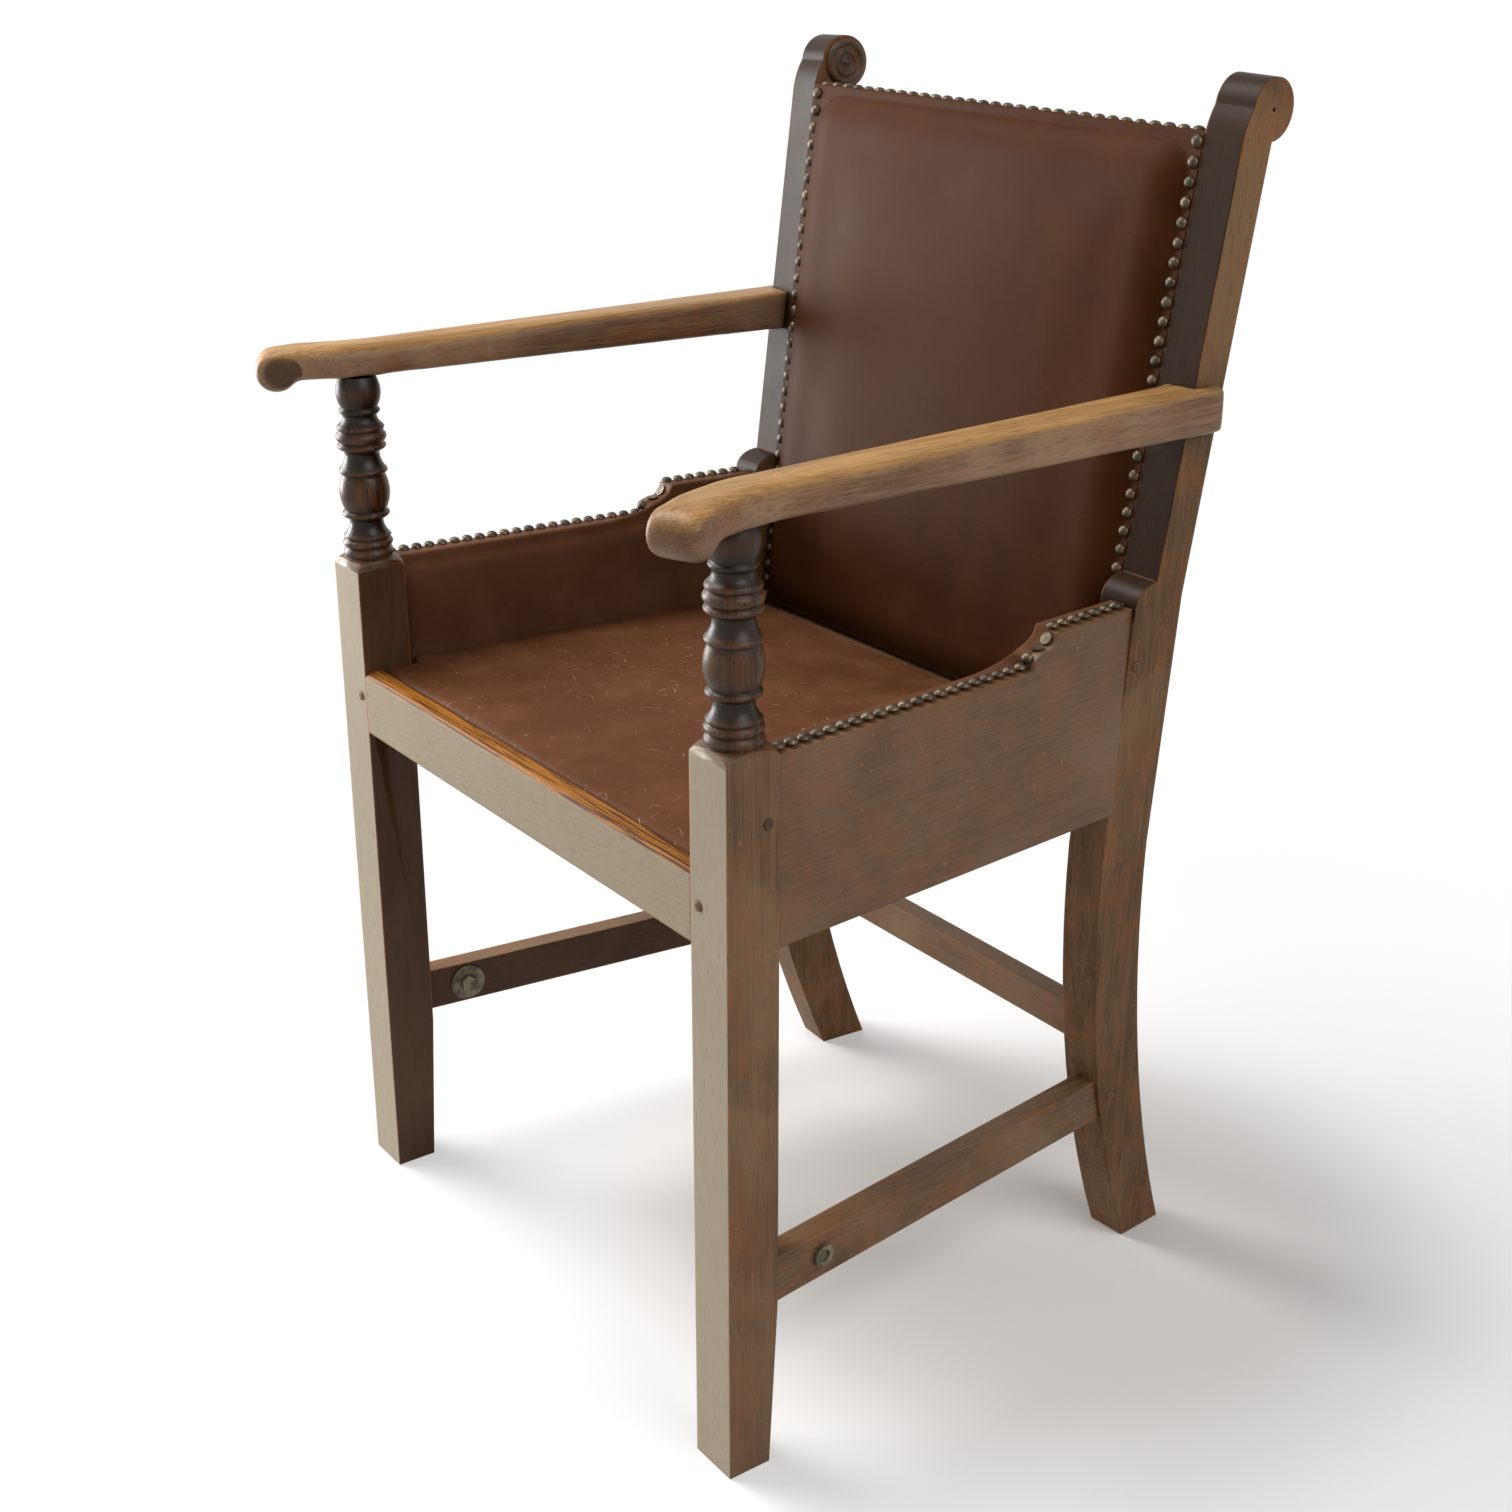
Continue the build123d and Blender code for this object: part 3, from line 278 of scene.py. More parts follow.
def railZones(tree, color, wood):
    color = frontDustAndSheenFaces(tree, color, wood)
    top = addNode(tree, "MapRange", smooth, {
        "Value": wood["face"]["Z"], "From Min": 0.1, "From Max": 0.5, "To Max": railTop["share"]})
    lines = addNode(tree, "MapRange", smooth, {"Value": wood["streak"], "From Min": 0.4, "From Max": 0.56})
    bare = addNode(tree, "Mix", colors, {
        0: lines, 6: railTop["deep"], 7: railTop["pale"]})
    wood["unworn"] = top.outputs[0]
    return addNode(tree, "Mix", colors, {0: top, 6: color, 7: bare.outputs[2]}).outputs[2]


# Arms: the upward faces golden, from wear where hands lie and partly a painted highlight, most at the front; brown
# along the sides, dark on the inner ends of the rolls.
armWearAndHighlight = {"deep": "#7b582a", "pale": "#aa8046", "frontAt": -120 * mm, "backAt": 220 * mm, "topWearAndHighlightShare": 0.9,
           "rearShare": 0.6, "dark": "#3a2414", "darkShare": 0.85,
           "rollAt": (0, -257.2 * mm, 698.5 * mm), "rollRadius": 15.2 * mm}


def armZones(tree, color, wood):
    # upward faces paler: hand wear and a painted highlight
    top = addNode(tree, "MapRange", smooth, {
        "Value": wood["face"]["Z"], "From Min": 0.1, "From Max": 0.92, "To Max": armWearAndHighlight["topWearAndHighlightShare"]})
    ahead = addNode(tree, "MapRange", smooth, {
        "Value": wood["spot"]["Y"], "From Min": armWearAndHighlight["backAt"], "From Max": armWearAndHighlight["frontAt"],
        "To Min": armWearAndHighlight["rearShare"]})
    held = addNode(tree, "Math", times, {0: top, 1: ahead})
    goldWearAndHighlight = addNode(tree, "Mix", colors, {
        0: wood["tone"], 6: armWearAndHighlight["deep"], 7: armWearAndHighlight["pale"]})
    color = addNode(tree, "Mix", colors, {0: held, 6: color, 7: goldWearAndHighlight.outputs[2]}).outputs[2]
    outer = addNode(tree, "Math", {"operation": "SIGN"}, {0: wood["spot"]["X"]})
    outward = addNode(tree, "Math", times, {0: wood["face"]["X"], 1: outer})
    side = addNode(tree, "MapRange", smooth, {
        "Value": outward, "From Min": -0.7, "From Max": -0.9, "To Max": armWearAndHighlight["darkShare"]})
    endways = addNode(tree, "CombineXYZ", {}, {1: wood["spot"]["Y"], 2: wood["spot"]["Z"]})
    reach = addNode(tree, "VectorMath", {"operation": "DISTANCE"}, {0: endways, 1: armWearAndHighlight["rollAt"]})
    roll = addNode(tree, "MapRange", smooth, {
        "Value": reach.outputs["Value"], "From Min": armWearAndHighlight["rollRadius"],
        "From Max": armWearAndHighlight["rollRadius"] - 2 * mm})
    end = addNode(tree, "Math", times, {0: side, 1: roll})
    return addNode(tree, "Mix", colors, {
        0: end, 6: color, 7: armWearAndHighlight["dark"]}).outputs[2]


# Posts: from the shoulder up, faces to the front and top are nearly black, away from hands and cloths.
postFront = {"color": "#1d120b", "share": 0.92, "from": 552 * mm, "to": 560 * mm}


def postZones(tree, color, wood):
    lean = addNode(tree, "Math", minus, {0: wood["face"]["Z"], 1: wood["face"]["Y"]})
    front = addNode(tree, "MapRange", smooth, {
        "Value": lean, "From Min": 0.4, "From Max": 0.8, "To Max": postFront["share"]})
    above = addNode(tree, "MapRange", smooth, {
        "Value": wood["spot"]["Z"], "From Min": postFront["from"], "From Max": postFront["to"]})
    both = addNode(tree, "Math", times, {0: front, 1: above})
    return addNode(tree, "Mix", colors, {
        0: both, 6: color, 7: postFront["color"]}).outputs[2]


# Leather: vegetable-tanned hide, stained chestnut and polished by use. Fine pebbled grain, a soft broad
# shine, cloudy brown, and on the seat short pale scratches.
leatherLook = {
    "cloudSize": 210, "mottleSize": 45, "grainSize": 1.5,  # hide grain drawn coarse enough to show
    "scratchLength": 16, "scratchWidth": 1.0, "scratchFrom": 0.745,
    "deep": "#2c1508", "middle": "#321909", "pale": "#3b210f", "scratch": "#b89a80",
    "scratchShare": 0.0, "roughLow": 0.4, "roughHigh": 0.5, "relief": 0.12, "ior": 1.17, "shine": "#d88a4c",
}


def makeLeather(name, changes=None):
    look = {**leatherLook, **(changes or {})}
    material, tree, shader = newMaterial(name)
    place = addNode(tree, "TexCoord").outputs["Object"]
    cloud = addNode(tree, "TexNoise", {}, {
        "Vector": place, "Scale": 1000 / look["cloudSize"], "Detail": 3.0, "Roughness": 0.5})
    mottle = addNode(tree, "TexNoise", {}, {
        "Vector": place, "Scale": 1000 / look["mottleSize"], "Detail": 5.0, "Roughness": 0.6})
    hide = addNode(tree, "TexVoronoi", {"feature": "SMOOTH_F1"}, {
        "Vector": place, "Scale": 1000 / look["grainSize"], "Smoothness": 0.6})
    cloudTone = addNode(tree, "MapRange", smooth, {
        "Value": cloud, "From Min": 0.32, "From Max": 0.68})
    mottleTone = addNode(tree, "MapRange", smooth, {
        "Value": mottle, "From Min": 0.38, "From Max": 0.75, "To Max": 0.6})
    base = addNode(tree, "Mix", colors, {
        0: cloudTone, 6: look["deep"], 7: look["middle"]})
    color = addNode(tree, "Mix", colors, {
        0: mottleTone, 6: base.outputs[2], 7: look["pale"]}).outputs[2]
    if look["scratchShare"]:
        rubbed = addNode(tree, "MapRange", smooth, {
            "Value": cloud, "From Min": 0.4, "From Max": 0.62, "To Min": 0.15, "To Max": look["scratchShare"]})
        for turn in (0.4, 1.5, 2.5):  # three sets of short scratches, each its own way
            turnedPlace = addNode(tree, "Mapping", {}, {"Vector": place, "Rotation": (0, 0, turn)})
            spread = addNode(tree, "Mapping", {}, {
                "Vector": turnedPlace, "Location": (turn * 7, turn * 3, 0),
                "Scale": (1000 / look["scratchLength"], 1000 / look["scratchWidth"], 1000 / look["scratchLength"])})
            scratch = addNode(tree, "TexNoise", {}, {
                "Vector": spread, "Scale": 1.0, "Detail": 1.0, "Distortion": 0.15})
            line = addNode(tree, "MapRange", {}, {
                "Value": scratch, "From Min": look["scratchFrom"], "From Max": look["scratchFrom"] + 0.04,
                "To Max": rubbed})
            color = addNode(tree, "Mix", colors, {
                0: line, 6: color, 7: look["scratch"]}).outputs[2]
    rough = addNode(tree, "MapRange", {}, {
        "Value": mottle, "From Min": 0.3, "From Max": 0.7,
        "To Min": look["roughLow"], "To Max": look["roughHigh"]})
    relief = addNode(tree, "Math", {"operation": "MULTIPLY_ADD"}, {
        0: mottle, 1: 2.0, 2: hide.outputs["Distance"]})
    bump = addNode(tree, "Bump", {}, {
        "Strength": look["relief"], "Distance": 0.5 * mm, "Height": relief})
    tree.links.new(color, shader.inputs["Base Color"])
    if "topRough" in look:  # the edge folded over the top rail is dull
        faces = addNode(tree, "SeparateXYZ", {}, {0: addNode(tree, "TexCoord").outputs["Normal"]})
        rough = addNode(tree, "MapRange", smooth, {
            "Value": faces.outputs["Z"], "From Min": 0.55, "From Max": 0.9, "To Min": rough,
            "To Max": look["topRough"]})
    tree.links.new(rough.outputs[0], shader.inputs["Roughness"])
    tree.links.new(bump.outputs[0], shader.inputs["Normal"])
    shader.inputs["IOR"].default_value = look["ior"]
    shader.inputs["Specular Tint"].default_value = hexColor(look["shine"])
    return material


# Metal left to tarnish: stamped brass nail heads and iron bolts, brown in the hollows and dull on the tops.
def makeMetal(name, deep, pale, spotSize, roughLow, roughHigh, metallic):
    material, tree, shader = newMaterial(name)
    place = addNode(tree, "TexCoord").outputs["Object"]
    spots = addNode(tree, "TexNoise", {}, {
        "Vector": place, "Scale": 1000 / spotSize, "Detail": 3.0, "Roughness": 0.6})
    tone = addNode(tree, "MapRange", smooth, {
        "Value": spots, "From Min": 0.35, "From Max": 0.66})
    color = addNode(tree, "Mix", colors, {0: tone, 6: deep, 7: pale})
    rough = addNode(tree, "MapRange", {}, {
        "Value": spots, "From Min": 0.3, "From Max": 0.7, "To Min": roughHigh, "To Max": roughLow})
    bump = addNode(tree, "Bump", {}, {
        "Strength": 0.12, "Distance": 0.2 * mm, "Height": spots})
    tree.links.new(color.outputs[2], shader.inputs["Base Color"])
    tree.links.new(rough.outputs[0], shader.inputs["Roughness"])
    tree.links.new(bump.outputs[0], shader.inputs["Normal"])
    shader.inputs["Metallic"].default_value = metallic
    return material


# Jute: plain weave of coarse hairy yarn, so a checked pattern of light threads with dark gaps.
def makeJute(name, yarn, deep, pale):
    material, tree, shader = newMaterial(name)
    place = addNode(tree, "TexCoord").outputs["Object"]
    threads = []
    for axis in ("X", "Y"):
        threads.append(addNode(tree, "TexWave", {"bands_direction": axis}, {
            "Vector": place, "Scale": 1000 / (yarn * 20), "Distortion": 0.6, "Detail": 1.0}))
    weave = addNode(tree, "Math", times, {
        0: threads[0].outputs["Fac"], 1: threads[1].outputs["Fac"]})
    fuzz = addNode(tree, "TexNoise", {}, {"Vector": place, "Scale": 1000 / 9, "Detail": 4.0})
    tone = addNode(tree, "Math", {"operation": "MULTIPLY_ADD"}, {
        0: weave, 1: 0.7, 2: fuzz})
    color = addNode(tree, "Mix", colors, {0: tone, 6: deep, 7: pale})
    bump = addNode(tree, "Bump", {}, {
        "Strength": 0.5, "Distance": 0.6 * mm, "Height": weave})
    tree.links.new(color.outputs[2], shader.inputs["Base Color"])
    tree.links.new(bump.outputs[0], shader.inputs["Normal"])
    shader.inputs["Roughness"].default_value = 0.9
    return material


oakAcross = makeOak("oakDarkAcross", 0)
oakAlong = makeOak("oakDarkAlong", 1)
# the stretchers get painted shade on their inner faces
oakStretcher = makeOak("oakDarkStretcher", 1, {}, innerShadeFaces)
oakPanel = makeOak("oakDarkPanel", 1, {
    "deep": "#573f29", "middle": "#644932", "pale": "#705640", "redShare": 0.3, "poreShare": 0.25, "edgeShare": 0.15,
    "streakLength": 120, "grainLength": 260})
oakLeg = makeOak("oakDarkLeg", 2, {"roughLow": 0.3, "roughHigh": 0.44, "poreShare": 0.32}, legZones)
oakPost = makeOak("oakDarkPost", 2, {"ior": 1.15, "edgeShare": 0.35}, postZones)
oakRail = makeOak("oakDarkRail", 0, {
    "streakWidth": 1.5, "streakLength": 60, "poreShare": 0.32, "ior": 1.12}, railZones)
oakArm = makeOak("oakWornArm", 1, {
    "deep": "#5a412c", "middle": "#7c5e45", "pale": "#8d7057", "edge": "#8a5f35", "edgeShare": 0.2,
    "streakWidth": 1.4, "streakLength": 45}, armZones)
oakPeg = makeOak("oakDarkPeg", 0, {"deep": "#2a1c12", "middle": "#44301f", "pale": "#57422f"})
plainChanges = {"deep": "#6a5137", "middle": "#8c6f4d", "pale": "#a08460", "red": "#8c6f4d", "edge": "#a08460",
                "pore": "#4c3823", "roughLow": 0.62, "roughHigh": 0.8, "edgeShare": 0.3, "coat": 0.0}
plainAcross = makeOak("oakPlainAcross", 0, plainChanges)
plainAlong = makeOak("oakPlainAlong", 1, plainChanges)
plainUpright = makeOak("oakPlainUpright", 2, plainChanges)
leatherBack = makeLeather("leatherBack", {"deep": "#311909", "middle": "#381d0c", "pale": "#422614",
                                          "topRough": 1.0, "roughLow": 0.48, "roughHigh": 0.56})
leatherSeat = makeLeather("leatherSeat", {"deep": "#4b2d1b", "middle": "#5d3a25", "pale": "#6a4630",
                                          "scratchShare": 0.85, "roughLow": 0.44, "roughHigh": 0.56,
                                          "ior": 1.11})
leatherLining = makeLeather("leatherLining", {"deep": "#4f3220", "middle": "#583927", "pale": "#60412e", "ior": 1.14})
leatherOutside = makeLeather("leatherOutside", {"deep": "#33201a", "middle": "#422a20", "pale": "#523628"})
brassNail = makeMetal("brassTarnished", "#2b2217", "#55462f", 9, 0.36, 0.48, 0.5)
ironBolt = makeMetal("ironAged", "#4f4838", "#7d7460", 11, 0.42, 0.58, 0.5)
juteWebbing = makeJute("juteWebbing", 2.4, "#5a4630", "#a98d62")
juteHessian = makeJute("juteHessian", 1.6, "#4d3d2a", "#947a54")
horsehair = makeJute("horsehairMatted", 1.1, "#1c1612", "#3b3028")

dressings = {
    "arm_": oakArm, "front_leg_": oakLeg, "rear_post_": oakPost, "front_rail": oakRail,
    "rear_seat_rail": oakAcross, "rear_stretcher": oakAcross, "side_stretcher_": oakStretcher,
    "side_panel_": oakPanel, "scroll_roundel_": oakPeg, "joint_pegs_": oakPeg,
    "back_top_rail": plainAcross, "back_bottom_rail": plainAcross, "back_nailing_strip_": plainUpright,
    "rear_cleat": plainAcross, "side_cleat_": plainAlong,
    "seat_frame_front": plainAcross, "seat_frame_rear": plainAcross, "seat_frame_side_": plainAlong,
    "back_webbing": juteWebbing, "seat_long_webbing": juteWebbing, "seat_cross_webbing": juteWebbing,
    "back_hessian": juteHessian, "seat_hessian": juteHessian,
    "back_stuffing": horsehair, "seat_stuffing": horsehair, "side_lining_pad_": horsehair,
    "back_leather": leatherBack, "outside_back_leather": leatherOutside,
    "seat_leather": leatherSeat, "side_lining_leather_": leatherLining,
    "stretcher_": ironBolt, "back_side_nails_": brassNail, "back_top_nails": brassNail,
    "outside_back_nails": brassNail, "panel_nails_": brassNail,
}
for name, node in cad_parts.items():
    for start, material in dressings.items():
        if name.startswith(start):
            dress(node, material)
            break
    else:
        print("no finish for", name)
print("finishes put on the nodes")


# Places read from the nodes
def looseParts(name):
    # the separate solids of a node, each as its faces' normals, areas and corners
    shape = bmesh.new()
    shape.from_mesh(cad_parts[name].data)
    bmesh.ops.remove_doubles(shape, verts=shape.verts, dist=samePoint)
    parts = []
    waiting = set(shape.faces)
    while waiting:
        part = [waiting.pop()]
        for found in part:
            for edge in found.edges:
                for other in edge.link_faces:
                    if other in waiting:
                        waiting.discard(other)
                        part.append(other)
        parts.append([(f.normal.copy(), f.calc_area(), [v.co.copy() for v in f.verts]) for f in part])
    shape.free()
    return parts


def nailPlaces(name):
    # the seat of each nail and the way it points: a nail's seat is its largest flat
    places = []
    for part in looseParts(name):
        sizes = {}
        for normal, area, corners in part:
            key = tuple(round(c, 2) for c in normal)
            sizes[key] = sizes.get(key, 0) + area
        seatWay = Vector(max(sizes, key=sizes.get)).normalized()
        seat = {tuple(round(c, 6) for c in p) for normal, area, corners in part
                if normal.dot(seatWay) > 0.99 for p in corners}
        places.append((sum((Vector(p) for p in seat), Vector()) / len(seat), -seatWay))
    return sorted(places, key=lambda p: tuple(round(c, 4) for c in p[0]))


nailNames = sorted(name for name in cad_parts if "_nails" in name)
nails = {name: nailPlaces(name) for name in nailNames}


def nailTree(*names):
    spots = [middle for name in names for middle, way in nails[name]]
    tree = kdtree.KDTree(len(spots))
    for index, spot in enumerate(spots):
        tree.insert(spot, index)
    tree.balance()
    return tree


def nodeEdges(name):
    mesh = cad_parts[name].data
    points = [v.co.copy() for v in mesh.vertices]
    return [(points[a], points[b]) for a, b in (e.vertices for e in mesh.edges)]


def spanAt(edges, along, across, level):
    # least and greatest reach of a node across, at one level along
    reaches = []
    for first, second in edges:
        low = first.dot(along) - level
        high = second.dot(along) - level
        if low * high <= 0 and low != high:
            reaches.append(first.lerp(second, low / (low - high)).dot(across))
    return (min(reaches), max(reaches)) if reaches else None


def puff(distances, margin, reach, fullness=0.62):
    # how far a stuffed face has risen, 0 to 1, at these distances from its held edges
    short = [1 - min(1.0, max(0.0, (d - margin) / reach)) for d in distances]
    lean = min(1.0, math.sqrt(sum(s * s for s in short)))
    return (1 - lean ** 2.2) ** fullness


# Sheets: a grid put in place by a formula. Leather is then blown out by Cloth, and a sheet given its thickness.
def makeSheet(name, columns, rows, place):
    deselectAll()
    bpy.ops.mesh.primitive_grid_add(x_subdivisions=columns, y_subdivisions=rows, size=1)
    sheet = bpy.context.object
    sheet.name = name
    for vertex in sheet.data.vertices:
        vertex.co = place(vertex.co.x + 0.5, vertex.co.y + 0.5)
    return sheet


stuffing = {"pressure": 4.0, "frames": 20, "evening": 60, "stiff": 25, "bend": 1.2, "mass": 0.35}


def inflate(sheet, outward, held, liftCap):
    before = [v.co.copy() for v in sheet.data.vertices]
    pins = sheet.vertex_groups.new(name="held")
    pinned = [held(p) for p in before]
    pins.add([i for i, stays in enumerate(pinned) if stays], 1.0, "REPLACE")
    makeActive(sheet)
    cloth = sheet.modifiers.new("cloth", "CLOTH")
    cloth.settings.quality = 5
    cloth.settings.mass = stuffing["mass"]
    cloth.settings.tension_stiffness = stuffing["stiff"]
    cloth.settings.compression_stiffness = stuffing["stiff"]
    cloth.settings.shear_stiffness = stuffing["stiff"] / 2
    cloth.settings.bending_stiffness = stuffing["bend"]
    cloth.settings.use_pressure = True
    cloth.settings.uniform_pressure_force = stuffing["pressure"]
    cloth.settings.vertex_group_mass = "held"
    cloth.settings.effector_weights.gravity = 0
    cloth.point_cache.frame_start = 1
    cloth.point_cache.frame_end = stuffing["frames"]
    for step in range(1, stuffing["frames"] + 1):
        scene.frame_set(step)
    bpy.ops.object.modifier_apply(modifier=cloth.name)
    scene.frame_set(1)
    sheet.vertex_groups.clear()
    lifts = [min(max((v.co - start).dot(outward), 0.0), liftCap) for v, start in zip(sheet.data.vertices, before)]
    beside = [[] for start in before]
    for edge in sheet.data.edges:
        first, second = edge.vertices
        beside[first].append(second)
        beside[second].append(first)
    for turn in range(stuffing["evening"]):  # the stuffing evens the swell out
        lifts = [0.0 if stays else 0.5 * lift + 0.5 * sum(lifts[i] for i in near) / len(near)
                 for lift, near, stays in zip(lifts, beside, pinned)]
    for vertex, start, lift in zip(sheet.data.vertices, before, lifts):
        vertex.co = start + outward * lift
    print(sheet.name, "blown out by up to", round(max(lifts) / mm, 1), "mm")


def finishSheet(sheet, thickness, material, body, nodes):
    applyModifier(sheet, "SOLIDIFY", {"thickness": thickness, "offset": -1})
    finishPiece(sheet, 50, material, body, nodes)


def ramp(value, stops):
    # piecewise straight line through (value, result) stops
    for (a, x), (b, y) in zip(stops, stops[1:]):
        if value <= b:
            return x + (y - x) * (value - a) / (b - a)
    return stops[-1][1]


backUp = Vector((0, 0.1437, 0.9896))
backOut = Vector((0, -0.9896, 0.1437))
backPoint = Vector((0, 0.1576, 0.464))
sideways = Vector((1, 0, 0))

# The leather of the back: held at its edges by nails, full between them, turned over the top rail.
backPiece = {"columns": 120, "rows": 150, "margin": 6.0 * mm, "rise": 34 * mm, "edgeRise": 10.5 * mm, "full": 1.0,
             "crown": 15.2 * mm, "turn": 25 * mm, "leather": 1.8 * mm, "bend": 1.8 * mm, "crest": 1.3 * mm,
             "pucker": 0.6 * mm, "nailStep": 13.8 * mm, "uneven": 0.7 * mm, "liftCap": 2.5 * mm,
             "pinReach": 5.5 * mm, "edgeHold": 1.5 * mm, "endHold": 4 * mm}
backEdges = [e for e in nodeEdges("back_leather")
             if all(abs((p - backPoint).dot(backOut)) < 1.5 * mm for p in e)]
backFront = backPoint.dot(backOut)
backLevels = [p.dot(backUp) for e in backEdges for p in e]
backBottom, backTop = min(backLevels), max(backLevels)
backSpans = {}


def backWidth(level):
    key = round(level, 5)
    if key not in backSpans:
        backSpans[key] = spanAt(backEdges, backUp, sideways, min(max(level, backBottom + mm), backTop - 3 * mm))
    return backSpans[key]


def backPlace(across, up):
    look = backPiece
    height = backTop - backBottom
    bend = look["bend"]
    # rows: the face, then the rounded corner, then the strip over the rail
    run = ramp(up, [(0, 0), (0.8, height - 14 * mm), (0.88, height - bend),
                    (0.94, height - bend + bend * math.pi / 2), (1, height + look["turn"])])
    across = ramp(across, [(0, 0), (0.12, 0.06), (0.88, 0.94), (1, 1)])  # columns closer at the nails
    past = run - (height - bend)
    turn = min(max(past / bend, 0.0), math.pi / 2)
    level = backBottom + min(run, height - bend) + (bend + look["crest"]) * math.sin(turn)
    back = bend * (1 - math.cos(turn)) + max(0.0, past - bend * math.pi / 2)
    left, right = backWidth(level)
    x = left + across * (right - left)
    sideGap = min(x - left, right - x)
    topGap = max(0.0, backTop - level)
    footGap = level - backBottom + look["margin"] - 1 * mm
    risen = puff([sideGap, topGap, footGap], look["margin"], look["rise"], look["full"])
    middle = (1 - ((x - (left + right) / 2) / ((right - left) / 2)) ** 2)
    middle *= 1 - ((level - (backTop + backBottom) / 2) / (height / 2)) ** 2
    out = look["edgeRise"] * risen + (look["crown"] - look["edgeRise"]) * middle
    # leather lifts a little between the nails
    held = min(1.0, sideGap / (2 * look["margin"]))
    if turn == 0:
        wave = math.sin(math.pi * (level - backBottom) / look["nailStep"]) ** 2
        out += look["pucker"] * (1 - held) * wave
    out += look["uneven"] * noise.noise(Vector((x * 9, level * 9, 3.0))) * risen
    return sideways * x + backUp * level + backOut * (backFront + out - back)


backPins = nailTree("back_side_nails_left", "back_side_nails_right")


def backHeld(point):
    level = point.dot(backUp)
    left, right = backWidth(level)
    atEdge = min(point.x - left, right - point.x) < backPiece["edgeHold"]
    atEnds = min(backTop - level, level - backBottom) < backPiece["endHold"]
    return atEdge or atEnds or backPins.find(point)[2] < backPiece["pinReach"]


backLeather = makeSheet("backLeather", backPiece["columns"], backPiece["rows"], backPlace)
inflate(backLeather, backOut, backHeld, backPiece["liftCap"])
finishSheet(backLeather, backPiece["leather"], leatherBack, "chair",
            ["back_leather", "back_stuffing"])
print("back leather made")

# The leather behind the back: stretched flat between the rails, drawn in a little at the middle.
outsidePiece = {"columns": 60, "rows": 70, "leather": 1.6 * mm, "draw": 2.2 * mm, "pucker": 0.5 * mm,
                "puckerReach": 14 * mm}
outsideEdges = nodeEdges("outside_back_leather")
outsideLevels = [p.dot(backUp) for e in outsideEdges for p in e]
outsideBottom, outsideTop = min(outsideLevels), max(outsideLevels)
outsideFace = min(p.dot(backOut) for e in outsideEdges for p in e)
outsideRear = [e for e in outsideEdges if all(p.dot(backOut) < outsideFace + 0.3 * mm for p in e)]
outsidePins = nailTree("outside_back_nails")


def outsidePlace(across, up):
    level = outsideBottom + up * (outsideTop - outsideBottom)
    left, right = spanAt(outsideRear, backUp, sideways, min(max(level, outsideBottom + mm), outsideTop - mm))
    x = right + across * (left - right)
    middle = (1 - (2 * across - 1) ** 4) * (1 - (2 * up - 1) ** 4)
    point = sideways * x + backUp * level + backOut * outsideFace
    near = max(0.0, 1 - outsidePins.find(point)[2] / outsidePiece["puckerReach"])
    return point + backOut * (outsidePiece["draw"] * middle + outsidePiece["pucker"] * near)


outsideLeather = makeSheet("outsideBackLeather", outsidePiece["columns"], outsidePiece["rows"], outsidePlace)
finishSheet(outsideLeather, outsidePiece["leather"], leatherOutside, "chair",
            ["outside_back_leather"])
print("outside of the back made")

# The leather of the drop-in seat: a low crown, rolled over the edge and tucked down inside the rails.
seatPiece = {"columns": 132, "rows": 100, "crown": 469.0 * mm, "edge": 459.6 * mm, "round": 6 * mm,
             "leather": 1.8 * mm, "foot": 426.2 * mm, "hem": 13 * mm, "uneven": 0.9 * mm,
             "liftCap": 2.5 * mm, "edgeHold": 7 * mm}
seatEdges = nodeEdges("seat_hessian")
seatFront = min(p.y for e in seatEdges for p in e) - 2 * mm
seatRear = max(p.y for e in seatEdges for p in e) + 2 * mm
lengthways = Vector((0, 1, 0))
seatSpans = {}


def seatHalf(y):
    key = round(y, 5)
    if key not in seatSpans:
        halves = []
        for step in (-2.5 * mm, 0, 2.5 * mm):
            level = min(max(y + step, seatFront + 3 * mm), seatRear - 3 * mm)
            halves.append(spanAt(seatEdges, lengthways, sideways, level)[1])
        seatSpans[key] = min(halves) + 1.8 * mm
    return seatSpans[key]


def seatPlace(across, up):
    look = seatPiece
    spread = [(0, 0), (0.1, 0.025), (0.9, 0.975), (1, 1)]  # rows and columns closer at the rolled edge
    y = seatFront + ramp(up, spread) * (seatRear - seatFront)
    half = seatHalf(y)
    x = (ramp(across, spread) * 2 - 1) * half
    gaps = [half - abs(x), y - seatFront, seatRear - y]
    drop = look["round"] * (1 - puff(gaps, 0.0, look["round"]))
    fromMiddle = (y - (seatFront + seatRear) / 2) / ((seatRear - seatFront) / 2)
    dome = (1 - abs(x / half) ** 2.4) * (1 - abs(fromMiddle) ** 2.6)
    z = look["edge"] + (look["crown"] - look["edge"]) * dome - drop
    z += look["uneven"] * noise.noise(Vector((x * 8, y * 8, 8.0))) * dome
    return Vector((x, y, z))


def seatHeld(point):
    gaps = [seatHalf(point.y) - abs(point.x), point.y - seatFront, seatRear - point.y]
    return min(gaps) < seatPiece["edgeHold"]


seatLeather = makeSheet("seatLeather", seatPiece["columns"], seatPiece["rows"], seatPlace)
inflate(seatLeather, Vector((0, 0, 1)), seatHeld, seatPiece["liftCap"])
